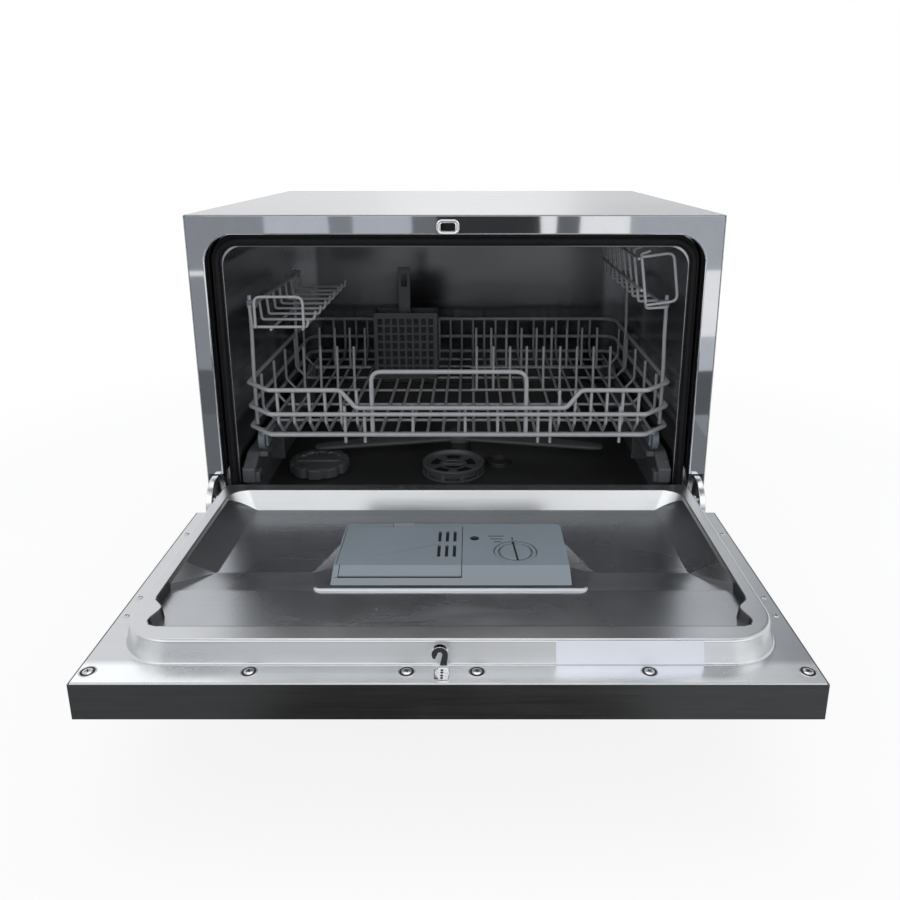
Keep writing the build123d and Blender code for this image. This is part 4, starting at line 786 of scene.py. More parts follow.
def rim_and_feet():
    """The dish's rim with the foot of its wall below, from the middle of the front round the left to the back."""
    pairs = []
    for i, (x, y) in enumerate(RIM_LEFT):
        ax, ay = RIM_LEFT[max(i - 1, 0)]
        bx, by = RIM_LEFT[min(i + 1, len(RIM_LEFT) - 1)]
        n = Vector((by - ay, ax - bx)).normalized() * -1.0
        z = side_z(y)
        pairs.append(((x, y), (x - n.x, y - n.y, z), (n.x, n.y)))
    for k in range(1, 17):
        a = math.radians(180 - 90 * k / 16)
        c, s = math.cos(a), math.sin(a)
        foot = (-214 + 26 * c, -44 + 13.5 * s)
        z = REAR_Z + (-foot[0] - 214) / 26 * (SIDE_Z - REAR_Z)
        pairs.append(((-221 + 20 * c, -44.5 + 20 * s), (*foot, z), (c, s)))
    for x in (-200, -160, -80, 0):
        pairs.append(((x, -24.5), (x, -30.5, REAR_Z), (0, 1)))
    mirrored = [((-r[0], r[1]), (-f[0], f[1], f[2]), (-n[0], n[1])) for r, f, n in pairs[1:-1]]
    return pairs + mirrored[::-1]


liner, flats = Shape(), Shape()
rows = []
foot_r, side_foot_r, top_r, rise = 1.8, 2.0, 2.4, RING_TOP - FLANGE_Z
rows.append(ring_loop(-side_foot_r - 0.15, FLANGE_Z, -foot_r - 0.15))
for k in range(8):
    a = math.pi / 2 * k / 7
    rows.append(ring_loop(-side_foot_r + side_foot_r * math.sin(a), FLANGE_Z + foot_r - foot_r * math.cos(a),
                          -foot_r + foot_r * math.sin(a)))
wall_up = rise - top_r
rows.append(ring_loop(lean * wall_up, RING_TOP - top_r, front_lean * wall_up))
for k in range(1, 8):
    a = math.pi / 2 * k / 7
    inward = top_r * (1 - math.cos(a))
    rows.append(ring_loop(lean * wall_up + inward, RING_TOP - top_r + top_r * math.sin(a), front_lean * wall_up + inward))
rows.append(ring_loop(lean * wall_up + top_r + 0.3, RING_TOP, front_lean * wall_up + top_r + 0.3))
liner.grid(rows, close=True)
foot_loop = [(x, y) for x, y, z in rows[0]]
crown = [(x, y) for x, y, z in rows[-1]]
pairs = rim_and_feet()
edge_r = 0.9
walls = []
for grow, drop in ((edge_r + 0.3, 0), (edge_r, 0), (edge_r * 0.62, edge_r * 0.08), (edge_r * 0.29, edge_r * 0.29),
                   (edge_r * 0.08, edge_r * 0.62), (0, edge_r)):
    walls.append([(r[0] + n[0] * grow, r[1] + n[1] * grow, RING_TOP - drop) for r, f, n in pairs])
flats.sheet([crown, [(x, y) for x, y, z in walls[0]]], lambda a, b: (a, b, RING_TOP))
for t in (0.35, 0.7, 1.0, 1.12):
    walls.append([(r[0] + (f[0] - r[0]) * t, r[1] + (f[1] - r[1]) * t,
                   RING_TOP - edge_r + (f[2] - RING_TOP + edge_r) * t) for r, f, n in pairs])
wall_shape = Shape()
wall_shape.grid(walls, close=True)
for side in (-1, 1):
    wall_shape.add([(side * 213, BAND_END, BAND_Z), (side * 240.2, CREASE, FRONT_Z),
                    (side * 240.2, CREASE + 1, side_z(CREASE + 1))], [(0, 1, 2)])
WING = -42.0
outline = [(-LINER_HALF, -314.7), (LINER_HALF, -314.7), (LINER_HALF, WING), (RING_HALF + 2.4, WING),
           (RING_HALF + 2.4, RING_BACK + 2.3), (-RING_HALF - 2.4, RING_BACK + 2.3), (-RING_HALF - 2.4, WING),
           (-LINER_HALF, WING)]
flats.sheet([outline, foot_loop], lambda a, b: (a, b, FLANGE_Z))
apron = outline[2:8]
liner.grid([[(x, y, FLANGE_Z) for x, y in apron], [(x, y, 104.2) for x, y in apron]])
liner.make("door_liner_ring", M["liner"], "door", 0, 1, 50, ("door_inner_liner",))
flats.make("door_liner_flats", M["flats"], "door", 0, 1, 30)
wall_shape.make("door_liner_walls", M["walls"], "door", 0, 1, 50)

# The dish: flat panels with soft creases between them.
BEAD_L, BEAD_R, BOX_L, BOX_R = -116.0, 114.0, -105.5, 104.0
dish = Shape()
rim_front = [(x, y) for x, y in RIM_LEFT if y <= CREASE]
front = [(x, y, FRONT_Z) for x, y in rim_front] + [(BEAD_L, CREASE, FRONT_Z), (BEAD_R, CREASE, FRONT_Z)]
front += [(-x, y, FRONT_Z) for x, y in rim_front[:0:-1]]
dish.add(front, [tuple(range(len(front)))])
dish.add([(BEAD_L, CREASE, FRONT_Z), (BEAD_R, CREASE, FRONT_Z), (BOX_R, -203.5, 138.8), (BOX_L, -203.5, 138.8)],
         [(0, 1, 2, 3)])
dish.add([(BOX_L, -203.5, 138.8), (BOX_R, -203.5, 138.8), (BOX_R, -199, 138.8), (BOX_L, -199, 138.8)], [(0, 1, 2, 3)])
dish.add([(BOX_L, -99, 131.4), (BOX_R, -99, 131.4), (BOX_R, -94, rear_z(-94)), (0, -94, rear_z(-94)),
          (BOX_L, -94, rear_z(-94))], [(0, 1, 2, 3, 4)])
for side, bead, box, wing in ((-1, BEAD_L, BOX_L, -127.0), (1, BEAD_R, BOX_R, 127.5)):
    dish.add([(side * 241, CREASE, FRONT_Z), (bead, CREASE, FRONT_Z), (wing, BAND_END, BAND_Z),
              (side * 213, BAND_END, BAND_Z)], [(0, 1, 2, 3)])
    tail = box + side * 6
    dish.add([(x, y, rear_z(y)) for x, y in
              ((side * 213, BAND_END), (wing, BAND_END), (tail, -113), (box, -113), (box, -94), (0, -94),
               (0, DISH_END), (side * 214, DISH_END), (side * 214, -44), (side * 213.5, -106))], [tuple(range(10))])
    dish.add([(bead, CREASE, FRONT_Z), (wing, BAND_END, BAND_Z), (tail, -113, rear_z(-113)),
              (box, -113, rear_z(-113) + 0.6), (box, BAND_END, 138.4), (box, -203.5, 138.8)],
             [(0, 1, 4, 5), (1, 2, 3, 4)])
    rows = []
    for y, x in ((CREASE + 1, 241.0), (BAND_END, 213.0), (-106.0, 213.5), (-44.0, 214.0)):
        outer = side_z(y)
        low = FRONT_Z + (BAND_Z - FRONT_Z) * (y - CREASE) / (BAND_END - CREASE) if y < BAND_END else rear_z(y)
        rows.append([(side * 241, y, outer), (side * x, y, low)])
    dish.grid(rows)
    corner = [(side * 214, -44, rear_z(-44))]
    for k in range(9):
        a = math.pi / 2 * k / 8
        x = 214 + 27 * math.cos(a)
        corner.append((side * x, -44 + 14 * math.sin(a), REAR_Z + (x - 214) / 27 * (SIDE_Z - REAR_Z)))
    dish.add(corner, [(0, k, k + 1) for k in range(1, 9)])
dish.make("door_liner_dish", M["dish"], "door", 2.0, 4, 40, sharp=2.5)

bead = Shape()
bead.tube([(-117.5, -201.5, 137.2), (-116, -205.4, 138.3), (-112, -206.4, 138.5), (110, -206.4, 138.5),
           (114, -205.4, 138.3), (115.5, -201.5, 137.2)], 1.7, 4, 14)
bead.tube([(-273.2, -314.9, 129.4), (273.2, -314.9, 129.4)], 1.1, 1, 12)
bead.make("door_liner_bead", M["liner"], "door", 0, 1, 50)

# Screws in pressed rings. The black ring round each head and the dark cross on it are painted shade, standing for the
# shade in the pressed well and in the cross recess.
screws, rings, wells, crosses = Shape(), Shape(), Shape(), Shape()
places = [(x, -301.5, 3.9) for x in (-266.4, -147.4, -31.1, 20.8, 148.1, 265.1)]
places += [(x, y, 2.5) for x in (-268.0, 268.0) for y in (-231.0, -204.0, -90.0)]
for x, y, r in places:
    screws.lathe([(r, 0.0), (r * 0.97, 0.35), (r * 0.75, 0.78), (r * 0.4, 0.92)], (x, y, FLANGE_Z), "z", 28)
    if r > 3:
        rings.lathe([(6.6, 0.0), (6.3, 0.22), (5.9, 0.26), (5.5, 0.12)], (x, y, FLANGE_Z), "z", 40, False, False)
        wells.lathe([(5.5, 0.14), (5.2, 0.03), (3.8, 0.03)], (x, y, FLANGE_Z), "z", 40, False, False)
    arm_len = r * 0.52
    for a in (0.5, 0.5 + math.pi / 2):
        c, s = math.cos(a), math.sin(a)
        w = r * 0.13
        pts = [(arm_len, w), (-arm_len, w), (-arm_len, -w), (arm_len, -w)]
        base = [(x + p * c - q * s, y + p * s + q * c, FLANGE_Z + 0.90) for p, q in pts]
        top = [(px, py, FLANGE_Z + 0.96) for px, py, pz in base]
        crosses.grid([base, top], close=True, cap_start=True, cap_end=True)
screws.make("door_screw_heads", M["screw"], "door", 0, 1, 40, ("door_screws",))
rings.make("door_screw_rings", M["liner"], "door", 0, 1, 60)
wells.make("door_screw_well_shade", M["recess"], "door", 0, 1, 60)
crosses.make("door_screw_cross_shade", M["painted_shade_metal"], "door", 0, 1, 40)

# Hook: a cast lever that widens to its foot and curls over to the left at the top.
HOOK_Y, CURL_X, CURL_Z = -303.6, -6.3, 147.1
hook_line = [(0.4, FLANGE_Z + 0.2), (0.0, 132.6), (-0.8, 136.0), (-0.9, 139.5), (-0.4, 143.6)]
for k in range(15):
    a = math.radians(-8 + 204 * k / 14)
    hook_line.append((CURL_X + 6.1 * math.cos(a), CURL_Z + 6.1 * math.sin(a)))
hook_line += [(-11.7, 143.4), (-9.6, 143.0), (-8.8, 145.2)]
for k in range(9):
    a = math.radians(190 - 205 * k / 8)
    hook_line.append((CURL_X + 1.7 * math.cos(a), CURL_Z + 1.7 * math.sin(a)))
hook_line += [(-5.3, 143.8), (-6.2, 139.5), (-6.6, 136.4), (-9.0, 132.4), (-10.6, FLANGE_Z + 0.2)]
hook = Shape()
hook.grid([[(x, HOOK_Y + y, z) for x, z in hook_line] for y in (-1.9, 1.9)], close=True)
for y in (-1.9, 1.9):
    hook.sheet([hook_line], lambda a, b: (a, HOOK_Y + y, b))
hook.make("latch_hook_bar", M["chrome"], "door", 0.7, 3, 60, ("latch_hook",), 50)
hook_foot = Shape()
foot_line = [(-10.8, -7.0), (-9.8, -8.2), (-0.6, -8.2), (0.4, -7.0), (0.6, 3.4), (-0.6, 4.5), (-9.8, 4.5), (-11, 3.4)]
hook_foot.grid([[(x, HOOK_Y + y, FLANGE_Z + z) for x, y in foot_line] for z in (0.0, 0.85)], close=True,
               cap_start=True, cap_end=True)
hook_foot.make("latch_hook_foot", M["screw"], "door", 0.35, 2)
# Painted shade: black discs on the hook's foot stand for the shade in its two holes.
hook_holes, hook_bolts = Shape(), Shape()
for y in (-3.6, -6.3):
    hook_holes.lathe([(1.2, 0.83), (1.15, 0.88)], (-5.0, HOOK_Y + y, FLANGE_Z), "z", 18)
for x in (-8.7, -1.4):
    hook_bolts.lathe([(1.5, 0.75), (1.4, 0.95), (0.9, 1.02)], (x, HOOK_Y - 3.8, FLANGE_Z), "z", 20)
hook_holes.make("latch_hook_hole_shade", M["recess"], "door", 0, 1, 40)
hook_bolts.make("latch_hook_bolts", M["screw"], "door", 0, 1, 40)

plate = Shape()
profile = []
for k in range(6):
    a = math.radians(30 + 12 * k)
    profile.append((-foot_r + foot_r * math.sin(a), foot_r - foot_r * math.cos(a), -math.sin(a), math.cos(a)))
for t in (0.25, 0.5, 0.75, 1.0):
    profile.append((front_lean * wall_up * t, foot_r + (wall_up - foot_r) * t, -0.95, 0.31))
for k in (1, 2, 3):
    a = math.pi / 2 * k / 7
    profile.append((front_lean * wall_up + top_r * (1 - math.cos(a)), wall_up + top_r * math.sin(a),
                    -math.cos(a), math.sin(a)))
for y, up, out_y, out_z in profile:
    rows_x = ((80.0, 0.03), (80.2, 0.3), (190.8, 0.3), (191.0, 0.03))
    plate.points += [(x, RING_FRONT + y + out_y * lift, FLANGE_Z + up + out_z * lift) for x, lift in rows_x]
plate.faces = [(r * 4 + c, r * 4 + c + 1, r * 4 + c + 5, r * 4 + c + 4) for r in range(len(profile) - 1) for c in range(3)]
plate.make("rating_plate_blank", M["plate"], "door", 0, 1, 30, ("rating_plate",))

# ---------------------------------------------------------------- dispenser

refined("dispenser_body", M["dispenser"], 0.7, 3, 35, 15)

# Lid: a plate with six slots, bent down over the front bevel, its left front corner cut back.
LID_LEFT, LID_RIGHT, LID_REAR, NOTCH_X, NOTCH_Y, BEND_Y = -103.0, 8.0, -107.6, -99.4, -177.4, -180.0
LIP_Y, LIP_TOP, LIP_LOW, LID_UNDER = -190.5, 142.95, 140.6, 144.7
lid_outline = [(NOTCH_X, BEND_Y), (NOTCH_X, NOTCH_Y), (LID_LEFT, NOTCH_Y), (LID_LEFT, LID_REAR), (LID_RIGHT, LID_REAR),
               (LID_RIGHT, BEND_Y)]
slots = []
for column in range(3):
    x = -12.9 + column * 7.1
    for near, far in ((-165, -143), (-137, -116)):
        slots.append([(x - 1.4, near), (x + 1.4, near), (x + 1.4, far), (x - 1.4, far)])
lid = Shape()
for z in (RING_TOP, LID_UNDER):
    lid.sheet([lid_outline] + slots, lambda a, b: (a, b, z))
lid.grid([[(x, y, z) for x, y in lid_outline] for z in (RING_TOP, LID_UNDER)])
for slot in slots:
    lid.grid([[(x, y, z) for x, y in slot] for z in (RING_TOP, LID_UNDER)], close=True)
lid_bend = [(BEND_Y, RING_TOP), (LIP_Y, LIP_TOP), (LIP_Y, LIP_LOW), (BEND_Y, LID_UNDER)]
lid.grid([[(x, y, z) for y, z in lid_bend] for x in (NOTCH_X, LID_RIGHT)], cap_start=True, cap_end=True)
lid.make("dispenser_lid_slotted", M["dispenser"], "dispenser_lid", 0.45, 3, 40, ("dispenser_lid",), 15)
# Painted shade: black boxes under the lid's slots stand for the shade inside them.
slot_shade_boxes = Shape()
for slot in slots:
    (x0, y0), (x1, y1) = slot[0], slot[2]
    slot_shade_boxes.box((x0 - 0.5, x1 + 0.5), (y0 - 0.5, y1 + 0.5), (LID_UNDER + 0.1, LID_UNDER + 0.4))
slot_shade_boxes.make("dispenser_lid_slot_shade", M["recess"], "dispenser_lid", 0, 1)
corner = Shape()
corner_line = [(-191.9, 142.2), (BEND_Y, RING_TOP), (-177.8, RING_TOP), (-177.8, 143.0), (-191.9, 139.0)]
corner.grid([[(x, y, z) for y, z in corner_line] for x in (-103.5, -99.9)], close=True, cap_start=True, cap_end=True)
corner.make("dispenser_corner", M["dispenser"], "door", 0.3, 2, 40, (), 15)
# Painted shade: black strips down in the gaps round the lid and along its right edge stand for the shade in them.
gaps = Shape()
gaps.box((-103.4, 8.5), (-192.3, -190.7), (138.5, 141.9))
gaps.box((-99.85, -99.5), (-191.9, -177.6), (138.5, 142.2))
gaps.box((8.1, 8.9), (-191.0, BEND_Y), (138.5, 141.9))
gaps.grid([[(8.1, -191.0, 142.2), (9.0, -191.0, 142.2)], [(8.1, BEND_Y, RING_TOP - 0.5), (9.0, BEND_Y, RING_TOP - 0.5)],
           [(8.1, -107.0, RING_TOP - 0.3), (9.0, -107.0, RING_TOP - 0.3)],
           [(8.1, -102.4, RING_TOP - 0.3), (9.0, -102.4, RING_TOP - 0.3)]])
gaps.box((-103.4, 8.5), (-107.5, -107.25), (144.7, 145.6))
gaps.make("dispenser_gap_shade", M["recess"], "door", 0, 1)
refined("dispenser_latch", M["catch"], 0.3, 2)
refined("rinse_window", M["window"], 0.5, 2)

CAPX, CAPY, TOP = 57.0, -155.3, RING_TOP
cap = Shape()
cap.lathe([(19.3, -7.4), (19.3, -1.2), (18.9, -0.7), (16.2, -0.6), (15.9, -1.0), (15.7, -3.0), (14.5, -3.0),
           (14.3, -1.0), (13.9, -0.3), (13.2, 0.0), (9.0, 0.0), (0.4, 0.0)], (CAPX, CAPY, TOP), "z", 72)
cap.make("rinse_cap_turned", M["dispenser"], "rinse_cap", 0, 1, 35, ("rinse_cap",))
# Painted shade: the black bar across the cap stands for the shade in its groove.
cap_bar = Shape()
c, s = math.cos(math.radians(95)), math.sin(math.radians(95))
pts = [(17.8, 0.9), (-15.4, 0.9), (-15.4, -0.9), (17.8, -0.9)]
base = [(CAPX + p * c - q * s, CAPY + p * s + q * c) for p, q in pts]
cap_bar.grid([[(x, y, TOP - 0.6) for x, y in base], [(x, y, TOP + 0.15) for x, y in base]], close=True,
             cap_start=True, cap_end=True)
cap_bar.make("rinse_cap_groove_shade", M["recess"], "rinse_cap", 0.1, 1)
# Painted shade: black strips stand for the shade in the dispenser's embossed lines.
marks = Shape()
for x0, x1, y in ((32.4, 47.6, -127.0), (34.2, 46.4, -132.5), (37.6, 44.6, -138.0)):
    marks.box((x0, x1), (y - 0.6, y + 0.6), (TOP - 0.2, TOP + 0.05))
marks.box((54.6, 55.8), (-134.6, -129.0), (TOP - 0.2, TOP + 0.05))
marks.make("dispenser_line_shade", M["recess"], "door", 0, 1)

# ---------------------------------------------------------------- controls

refined("control_fascia", M["gloss"], 0.5, 3)
refined("display_window", M["window"], 0.3, 2)
for n in range(1, 5):
    refined(f"button_{n}", M["pale"], 0.2, 2)

# ---------------------------------------------------------------- rack

CX = 2.0
HALF, FRONT, BACK = 238.5, 20.5, 395.0
HOOPS = (194.0, 218.0, 246.0)
DIP = 225.5
LEFT, RIGHT = CX - HALF, CX + HALF
rack = Shape()
for z in HOOPS:
    rack.tube([(LEFT, 200, z), (LEFT, BACK, z), (RIGHT, BACK, z), (RIGHT, 200, z)], 2.5, 22)
    middle = [(-128, FRONT, z), (-111, FRONT, DIP), (122, FRONT, DIP), (138, FRONT, z)] if z == HOOPS[-1] else []
    rack.tube([(LEFT, 200.5, z), (LEFT, FRONT + 30, z), (LEFT + 30, FRONT, z)] + middle
              + [(RIGHT - 30, FRONT, z), (RIGHT, FRONT + 30, z), (RIGHT, 200.5, z)], 2.5, 9)
loop_y = FRONT + 3.9
rack.tube([(-93.6, loop_y, 194), (-93.6, loop_y, 266), (77.6, loop_y, 266), (77.6, loop_y, 194)], 2.5, 12)
UP = FRONT + 3.8
for x in (-48.4, 9.9, 46.2):
    rack.tube([(x, UP, 192), (x, UP, DIP + 2)], 1.8)
for x in (-124.2, -102.4, 91.3, 105.0, 182.6):
    rack.tube([(x, UP, 183), (x, UP, DIP + 1)], 1.8)
for side in (-1, 1):
    for step in range(6):
        x = CX + side * (112.6 + step * 17.6)
        rack.tube([(x, UP, 245), (x, UP + 2, 206), (x, 45, 190), (x, 375, 190), (x, BACK - 3.8, 206),
                   (x, BACK - 3.8, 245)], 1.8, 6, 10)
for step in range(-5, 6):
    x = CX + step * 17.6
    rack.tube([(x, 35, 190), (x, 375, 190), (x, BACK - 3.8, 206), (x, BACK - 3.8, 245)], 1.8, 6, 10)
for x in (CX - 221, CX + 221):
    rack.tube([(x, 35, 190), (x, 380, 190)], 1.8)
for y in (90, 150, 210, 270, 330):
    rack.tube([(LEFT + 3.8, y, 245), (LEFT + 3.8, y, 203), (LEFT + 18, y, 186.6), (RIGHT - 18, y, 186.6),
               (RIGHT - 3.8, y, 203), (RIGHT - 3.8, y, 245)], 1.8, 8, 10)
for y in (45, 371):
    rack.tube([(CX - 226, y, 186.6), (CX + 226, y, 186.6)], 1.8)
for y in (190, 300):
    for first, count in ((24, 9), (-204, 4)):
        end = first + (count - 1) * 22
        rack.tube([(first - 8, y, 193.4), (end + 8, y, 193.4)], 1.8, sides=10)
        for step in range(count):
            x = first + step * 22
            rack.tube([(x, y, 193.4), (x, y + 5, 252)], 1.8, sides=10)
HINGE_L, HINGE_R, HINGE_Z = -226.0, 230.0, 335.0
for side, hinge in ((-1, HINGE_L), (1, HINGE_R)):
    foot, top = CX + side * (HALF - 4.2), hinge + side * 5.2
    for y in (60, 280):
        rack.tube([(foot, y, 192), (foot, y, 262), (top, y, 300), (top, y, 345)], 2.2, 12)
rack.make("rack_wires", M["wire"], "dish_rack", 0, 1, 50, ("rack_basket",))
clips = Shape()
for side, hinge in ((-1, HINGE_L), (1, HINGE_R)):
    for y in (60, 280):
        x = hinge + side * 2.5
        clips.box((x - 5.5, x + 5.5), (y - 3.5, y + 3.5), (HINGE_Z - 4.5, HINGE_Z + 4.5))
clips.make("rack_shelf_clips", M["wheel"], "dish_rack", 1.4, 3)
refined("wheel_clips", M["wheel"], 0.4, 2)

for end, y in (("front", 62.0), ("back", 345.0)):
    for name, side in (("left", -1), ("right", 1)):
        x = CX + side * 229.0
        wheel = Shape()
        wheel.lathe([(3.05, -4.0), (6.0, -4.0), (6.6, -3.2), (9.6, -3.0), (10.4, -3.9), (12.2, -4.0), (13.0, -3.2),
                     (13.0, 3.2), (12.2, 4.0), (10.4, 3.9), (9.6, 3.0), (6.6, 3.2), (6.0, 4.0), (3.05, 4.0)],
                    (x, y, 174.0), "x", 48, False, False)
        for k in range(5):
            a = math.radians(72 * k)
            wheel.tube([(x - 3.4, y + 8 * math.cos(a), 174 + 8 * math.sin(a)),
                        (x + 3.4, y + 8 * math.cos(a), 174 + 8 * math.sin(a))], 1.5, sides=10)
        wheel.make(f"wheel_{end}_{name}_turned", M["wheel"], f"wheel_{end}_{name}", 0, 1, 40,
                   (f"wheel_{end}_{name}",))

# ---------------------------------------------------------------- cup shelves


def shelf_routes():
    low, tip = HINGE_Z - 22, HINGE_L + 64
    routes = [([(HINGE_L, 40, HINGE_Z), (HINGE_L, 300, HINGE_Z)], 2.0, 3)]
    for y in (40, 80, 112, 144, 176, 208, 240, 268, 300):
        routes.append(([(HINGE_L, y, HINGE_Z), (HINGE_L + 2, y, low), (tip - 2, y, low), (tip, y, low + 10)], 1.6, 3))
    for x in (HINGE_L + 22, tip - 7):
        routes.append(([(x, 40, low - 2.9), (x, 300, low - 2.9)], 1.6, 3))
    routes.append(([(HINGE_L + 6, 37.1, low - 1), (HINGE_L + 6, 37.1, HINGE_Z + 12), (tip - 5, 37.1, HINGE_Z + 12),
                    (tip - 5, 37.1, low - 1)], 1.6, 8))
    return routes


def folded(p):
    """The left shelf's point, mirrored to the right and folded up."""
    x, y, z = 2 * CX - p[0], p[1], p[2]
    a = math.radians(82)
    dx, dz = x - HINGE_R, z - HINGE_Z
    return (HINGE_R + dx * math.cos(a) + dz * math.sin(a), y, HINGE_Z - dx * math.sin(a) + dz * math.cos(a))


left_shelf, right_shelf = Shape(), Shape()
for route, r, bend in shelf_routes():
    left_shelf.tube(route, r, bend)
    right_shelf.tube([folded(p) for p in route], r, bend)
left_shelf.make("cup_shelf_left_wires", M["wire"], "cup_shelf_left", 0, 1, 50, ("cup_shelf_left",))
right_shelf.make("cup_shelf_right_wires", M["wire"], "cup_shelf_right", 0, 1, 50, ("cup_shelf_right",))

refined("cutlery_basket", M["dark"], 0.45, 2)

# ---------------------------------------------------------------- camera, light, floor

camera_data = bpy.data.cameras.new("camera")
camera_data.sensor_width = 36
camera_data.lens = 36 * 773.224 / 900
camera_data.shift_x = -(470.934 - 450) / 900
camera_data.shift_y = -(450 - 361.615) / 900
camera_data.clip_start, camera_data.clip_end = 0.01, 50
camera = bpy.data.objects.new("camera", camera_data)
bpy.context.collection.objects.link(camera)
camera.location = at(16.369, -791.407, 500.654)
camera.rotation_euler = (math.radians(90 - 15.292), 0, 0)
bpy.context.scene.camera = camera


def area_light(name, place, target, size, power, colour=(1, 1, 1)):
    data = bpy.data.lights.new(name, "AREA")
    data.shape = "RECTANGLE"
    data.size, data.size_y = size
    data.energy = power
    data.color = colour
    obj = bpy.data.objects.new(name, data)
    bpy.context.collection.objects.link(obj)
    obj.location = place
    obj.rotation_euler = (Vector(target) - Vector(place)).to_track_quat("-Z", "Y").to_euler()
    return obj


area_light("key", (-0.9, -2.1, 1.6), (0, 0, 0.2), (2.8, 2.2), 12)
area_light("fill", (1.3, -2.0, 1.2), (0, 0, 0.2), (2.4, 2.0), 7)
area_light("top", (0.0, 0.2, 2.3), (0, 0, 0.2), (1.8, 1.4), 8)
area_light("rear", (0.4, 2.2, 1.6), (0, 0, 0.3), (1.6, 1.2), 5)

world = bpy.data.worlds.new("studio")
bpy.context.scene.world = world
world.use_nodes = True
tree = world.node_tree
tree.nodes.clear()
out = tree.nodes.new("ShaderNodeOutputWorld")
mix = tree.nodes.new("ShaderNodeMixShader")
white = tree.nodes.new("ShaderNodeBackground")
soft = tree.nodes.new("ShaderNodeBackground")
white.inputs["Color"].default_value = (1, 1, 1, 1)
white.inputs["Strength"].default_value = 1.0
soft.inputs["Color"].default_value = (0.95, 0.97, 1, 1)
soft.inputs["Strength"].default_value = 0.55
path = tree.nodes.new("ShaderNodeLightPath")
either = tree.nodes.new("ShaderNodeMath")
either.operation = "MAXIMUM"
third = tree.nodes.new("ShaderNodeMath")
third.operation = "MAXIMUM"
tree.links.new(path.outputs["Is Camera Ray"], either.inputs[0])
tree.links.new(path.outputs["Is Glossy Ray"], either.inputs[1])
tree.links.new(either.outputs[0], third.inputs[0])
tree.links.new(path.outputs["Is Transmission Ray"], third.inputs[1])
tree.links.new(third.outputs[0], mix.inputs["Fac"])
tree.links.new(soft.outputs[0], mix.inputs[1])
tree.links.new(white.outputs[0], mix.inputs[2])
tree.links.new(mix.outputs[0], out.inputs["Surface"])

floor_mesh = bpy.data.meshes.new("floor")
span = 12.0
floor_mesh.from_pydata([(-span, -span, 0), (span, -span, 0), (span, span, 0), (-span, span, 0)], [], [(0, 1, 2, 3)])
floor = bpy.data.objects.new("floor", floor_mesh)
bpy.context.collection.objects.link(floor)
floor_mat, tree, shader = principled("floor_white")
shader.inputs["Base Color"].default_value = (0.86, 0.86, 0.86, 1)
shader.inputs["Roughness"].default_value = 0.9
shader.inputs["Specular IOR Level"].default_value = 0.0
glow = tree.nodes.new("ShaderNodeEmission")
glow.inputs["Strength"].default_value = 1.06
path = tree.nodes.new("ShaderNodeLightPath")
seen = tree.nodes.new("ShaderNodeMath")
seen.operation = "MAXIMUM"
tree.links.new(path.outputs["Is Camera Ray"], seen.inputs[0])
tree.links.new(path.outputs["Is Glossy Ray"], seen.inputs[1])
coord = tree.nodes.new("ShaderNodeTexCoord")
reach = tree.nodes.new("ShaderNodeVectorMath")
reach.operation = "LENGTH"
tree.links.new(coord.outputs["Object"], reach.inputs[0])
part = tree.nodes.new("ShaderNodeMath")
part.operation = "MULTIPLY"
tree.links.new(seen.outputs[0], part.inputs[0])
tree.links.new(spread(tree, reach.outputs["Value"], 0.8, 1.9, 0.80, 1.0), part.inputs[1])
blend = tree.nodes.new("ShaderNodeMixShader")
tree.links.new(part.outputs[0], blend.inputs["Fac"])
tree.links.new(shader.outputs[0], blend.inputs[1])
tree.links.new(glow.outputs[0], blend.inputs[2])
tree.links.new(blend.outputs[0], tree.nodes["Material Output"].inputs["Surface"])
floor_mesh.materials.append(floor_mat)

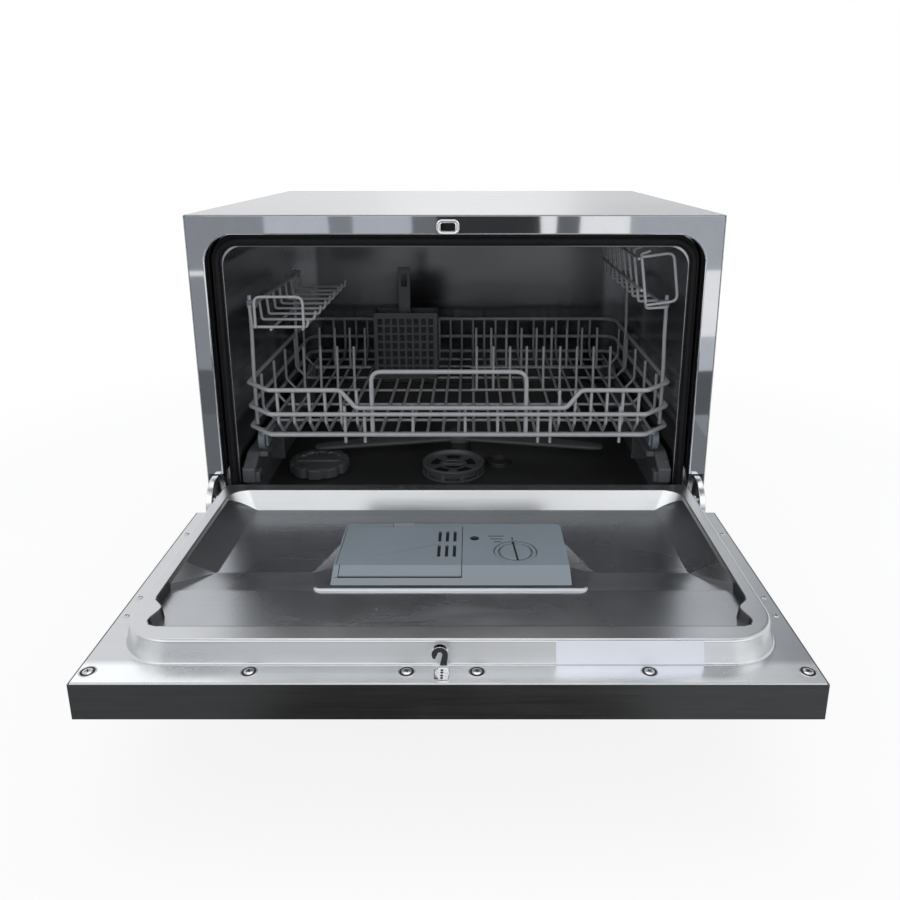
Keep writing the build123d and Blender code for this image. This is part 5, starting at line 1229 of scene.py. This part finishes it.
# Grey cards in front of the machine, seen only in its bright metal, as in a studio.
cards = [
    ((-1200, -828), -2400, (20, 340), 0.32), ((-828, -565), -2400, (20, 340), 0.60), ((-565, -465), -2400, (20, 340), 0.28),
    ((-465, -225), -2400, (20, 340), 0.55), ((-225, -120), -2400, (20, 340), 0.20), ((-120, 300), -2400, (20, 340), 0.045),
    ((365, 462), -2400, (20, 340), 0.16), ((665, 1100), -2400, (20, 340), 0.48),
    ((-1150, -400), (-2390, -950), 2, 0.31), ((-1150, -400), (-950, -640), 2, 0.135),
    ((-1150, -170), (-640, -330), 2, 0.17), ((170, 440), (-640, -330), 2, 0.22), ((440, 1150), (-640, -330), 2, 0.30),
    ((440, 1150), (-950, -640), 2, 0.12), ((440, 1150), (-1300, -950), 2, 0.58),
    ((-400, 440), (-1150, -640), 2, 0.16), ((-170, 170), (-640, -330), 2, 0.045),
    ((420, 3400), 2300, (900, 3600), 0.22), ((-1500, 1500), (-2600, -500), 2500, 0.12),
]
for n, (xs, ys, zs, level) in enumerate(cards):
    if isinstance(ys, tuple):
        corners = [(x, y, zs) for x, y in ((xs[0], ys[0]), (xs[1], ys[0]), (xs[1], ys[1]), (xs[0], ys[1]))]
    else:
        corners = [(x, ys, z) for x, z in ((xs[0], zs[0]), (xs[1], zs[0]), (xs[1], zs[1]), (xs[0], zs[1]))]
    mesh = bpy.data.meshes.new(f"card_{n}")
    mesh.from_pydata([tuple(at(*c)) for c in corners], [], [(0, 1, 2, 3)])
    card = bpy.data.objects.new(f"card_{n}", mesh)
    bpy.context.collection.objects.link(card)
    card_mat, tree, shader = principled(f"card_grey_{n}")
    shader.inputs["Base Color"].default_value = (0, 0, 0, 1)
    shader.inputs["Specular IOR Level"].default_value = 0.0
    shader.inputs["Emission Color"].default_value = (level, level * 1.05, level * 1.12, 1)
    shader.inputs["Emission Strength"].default_value = 1.0
    mesh.materials.append(card_mat)
    card.visible_camera = card.visible_diffuse = card.visible_shadow = card.visible_transmission = False

bpy.context.scene.view_settings.view_transform = "Standard"
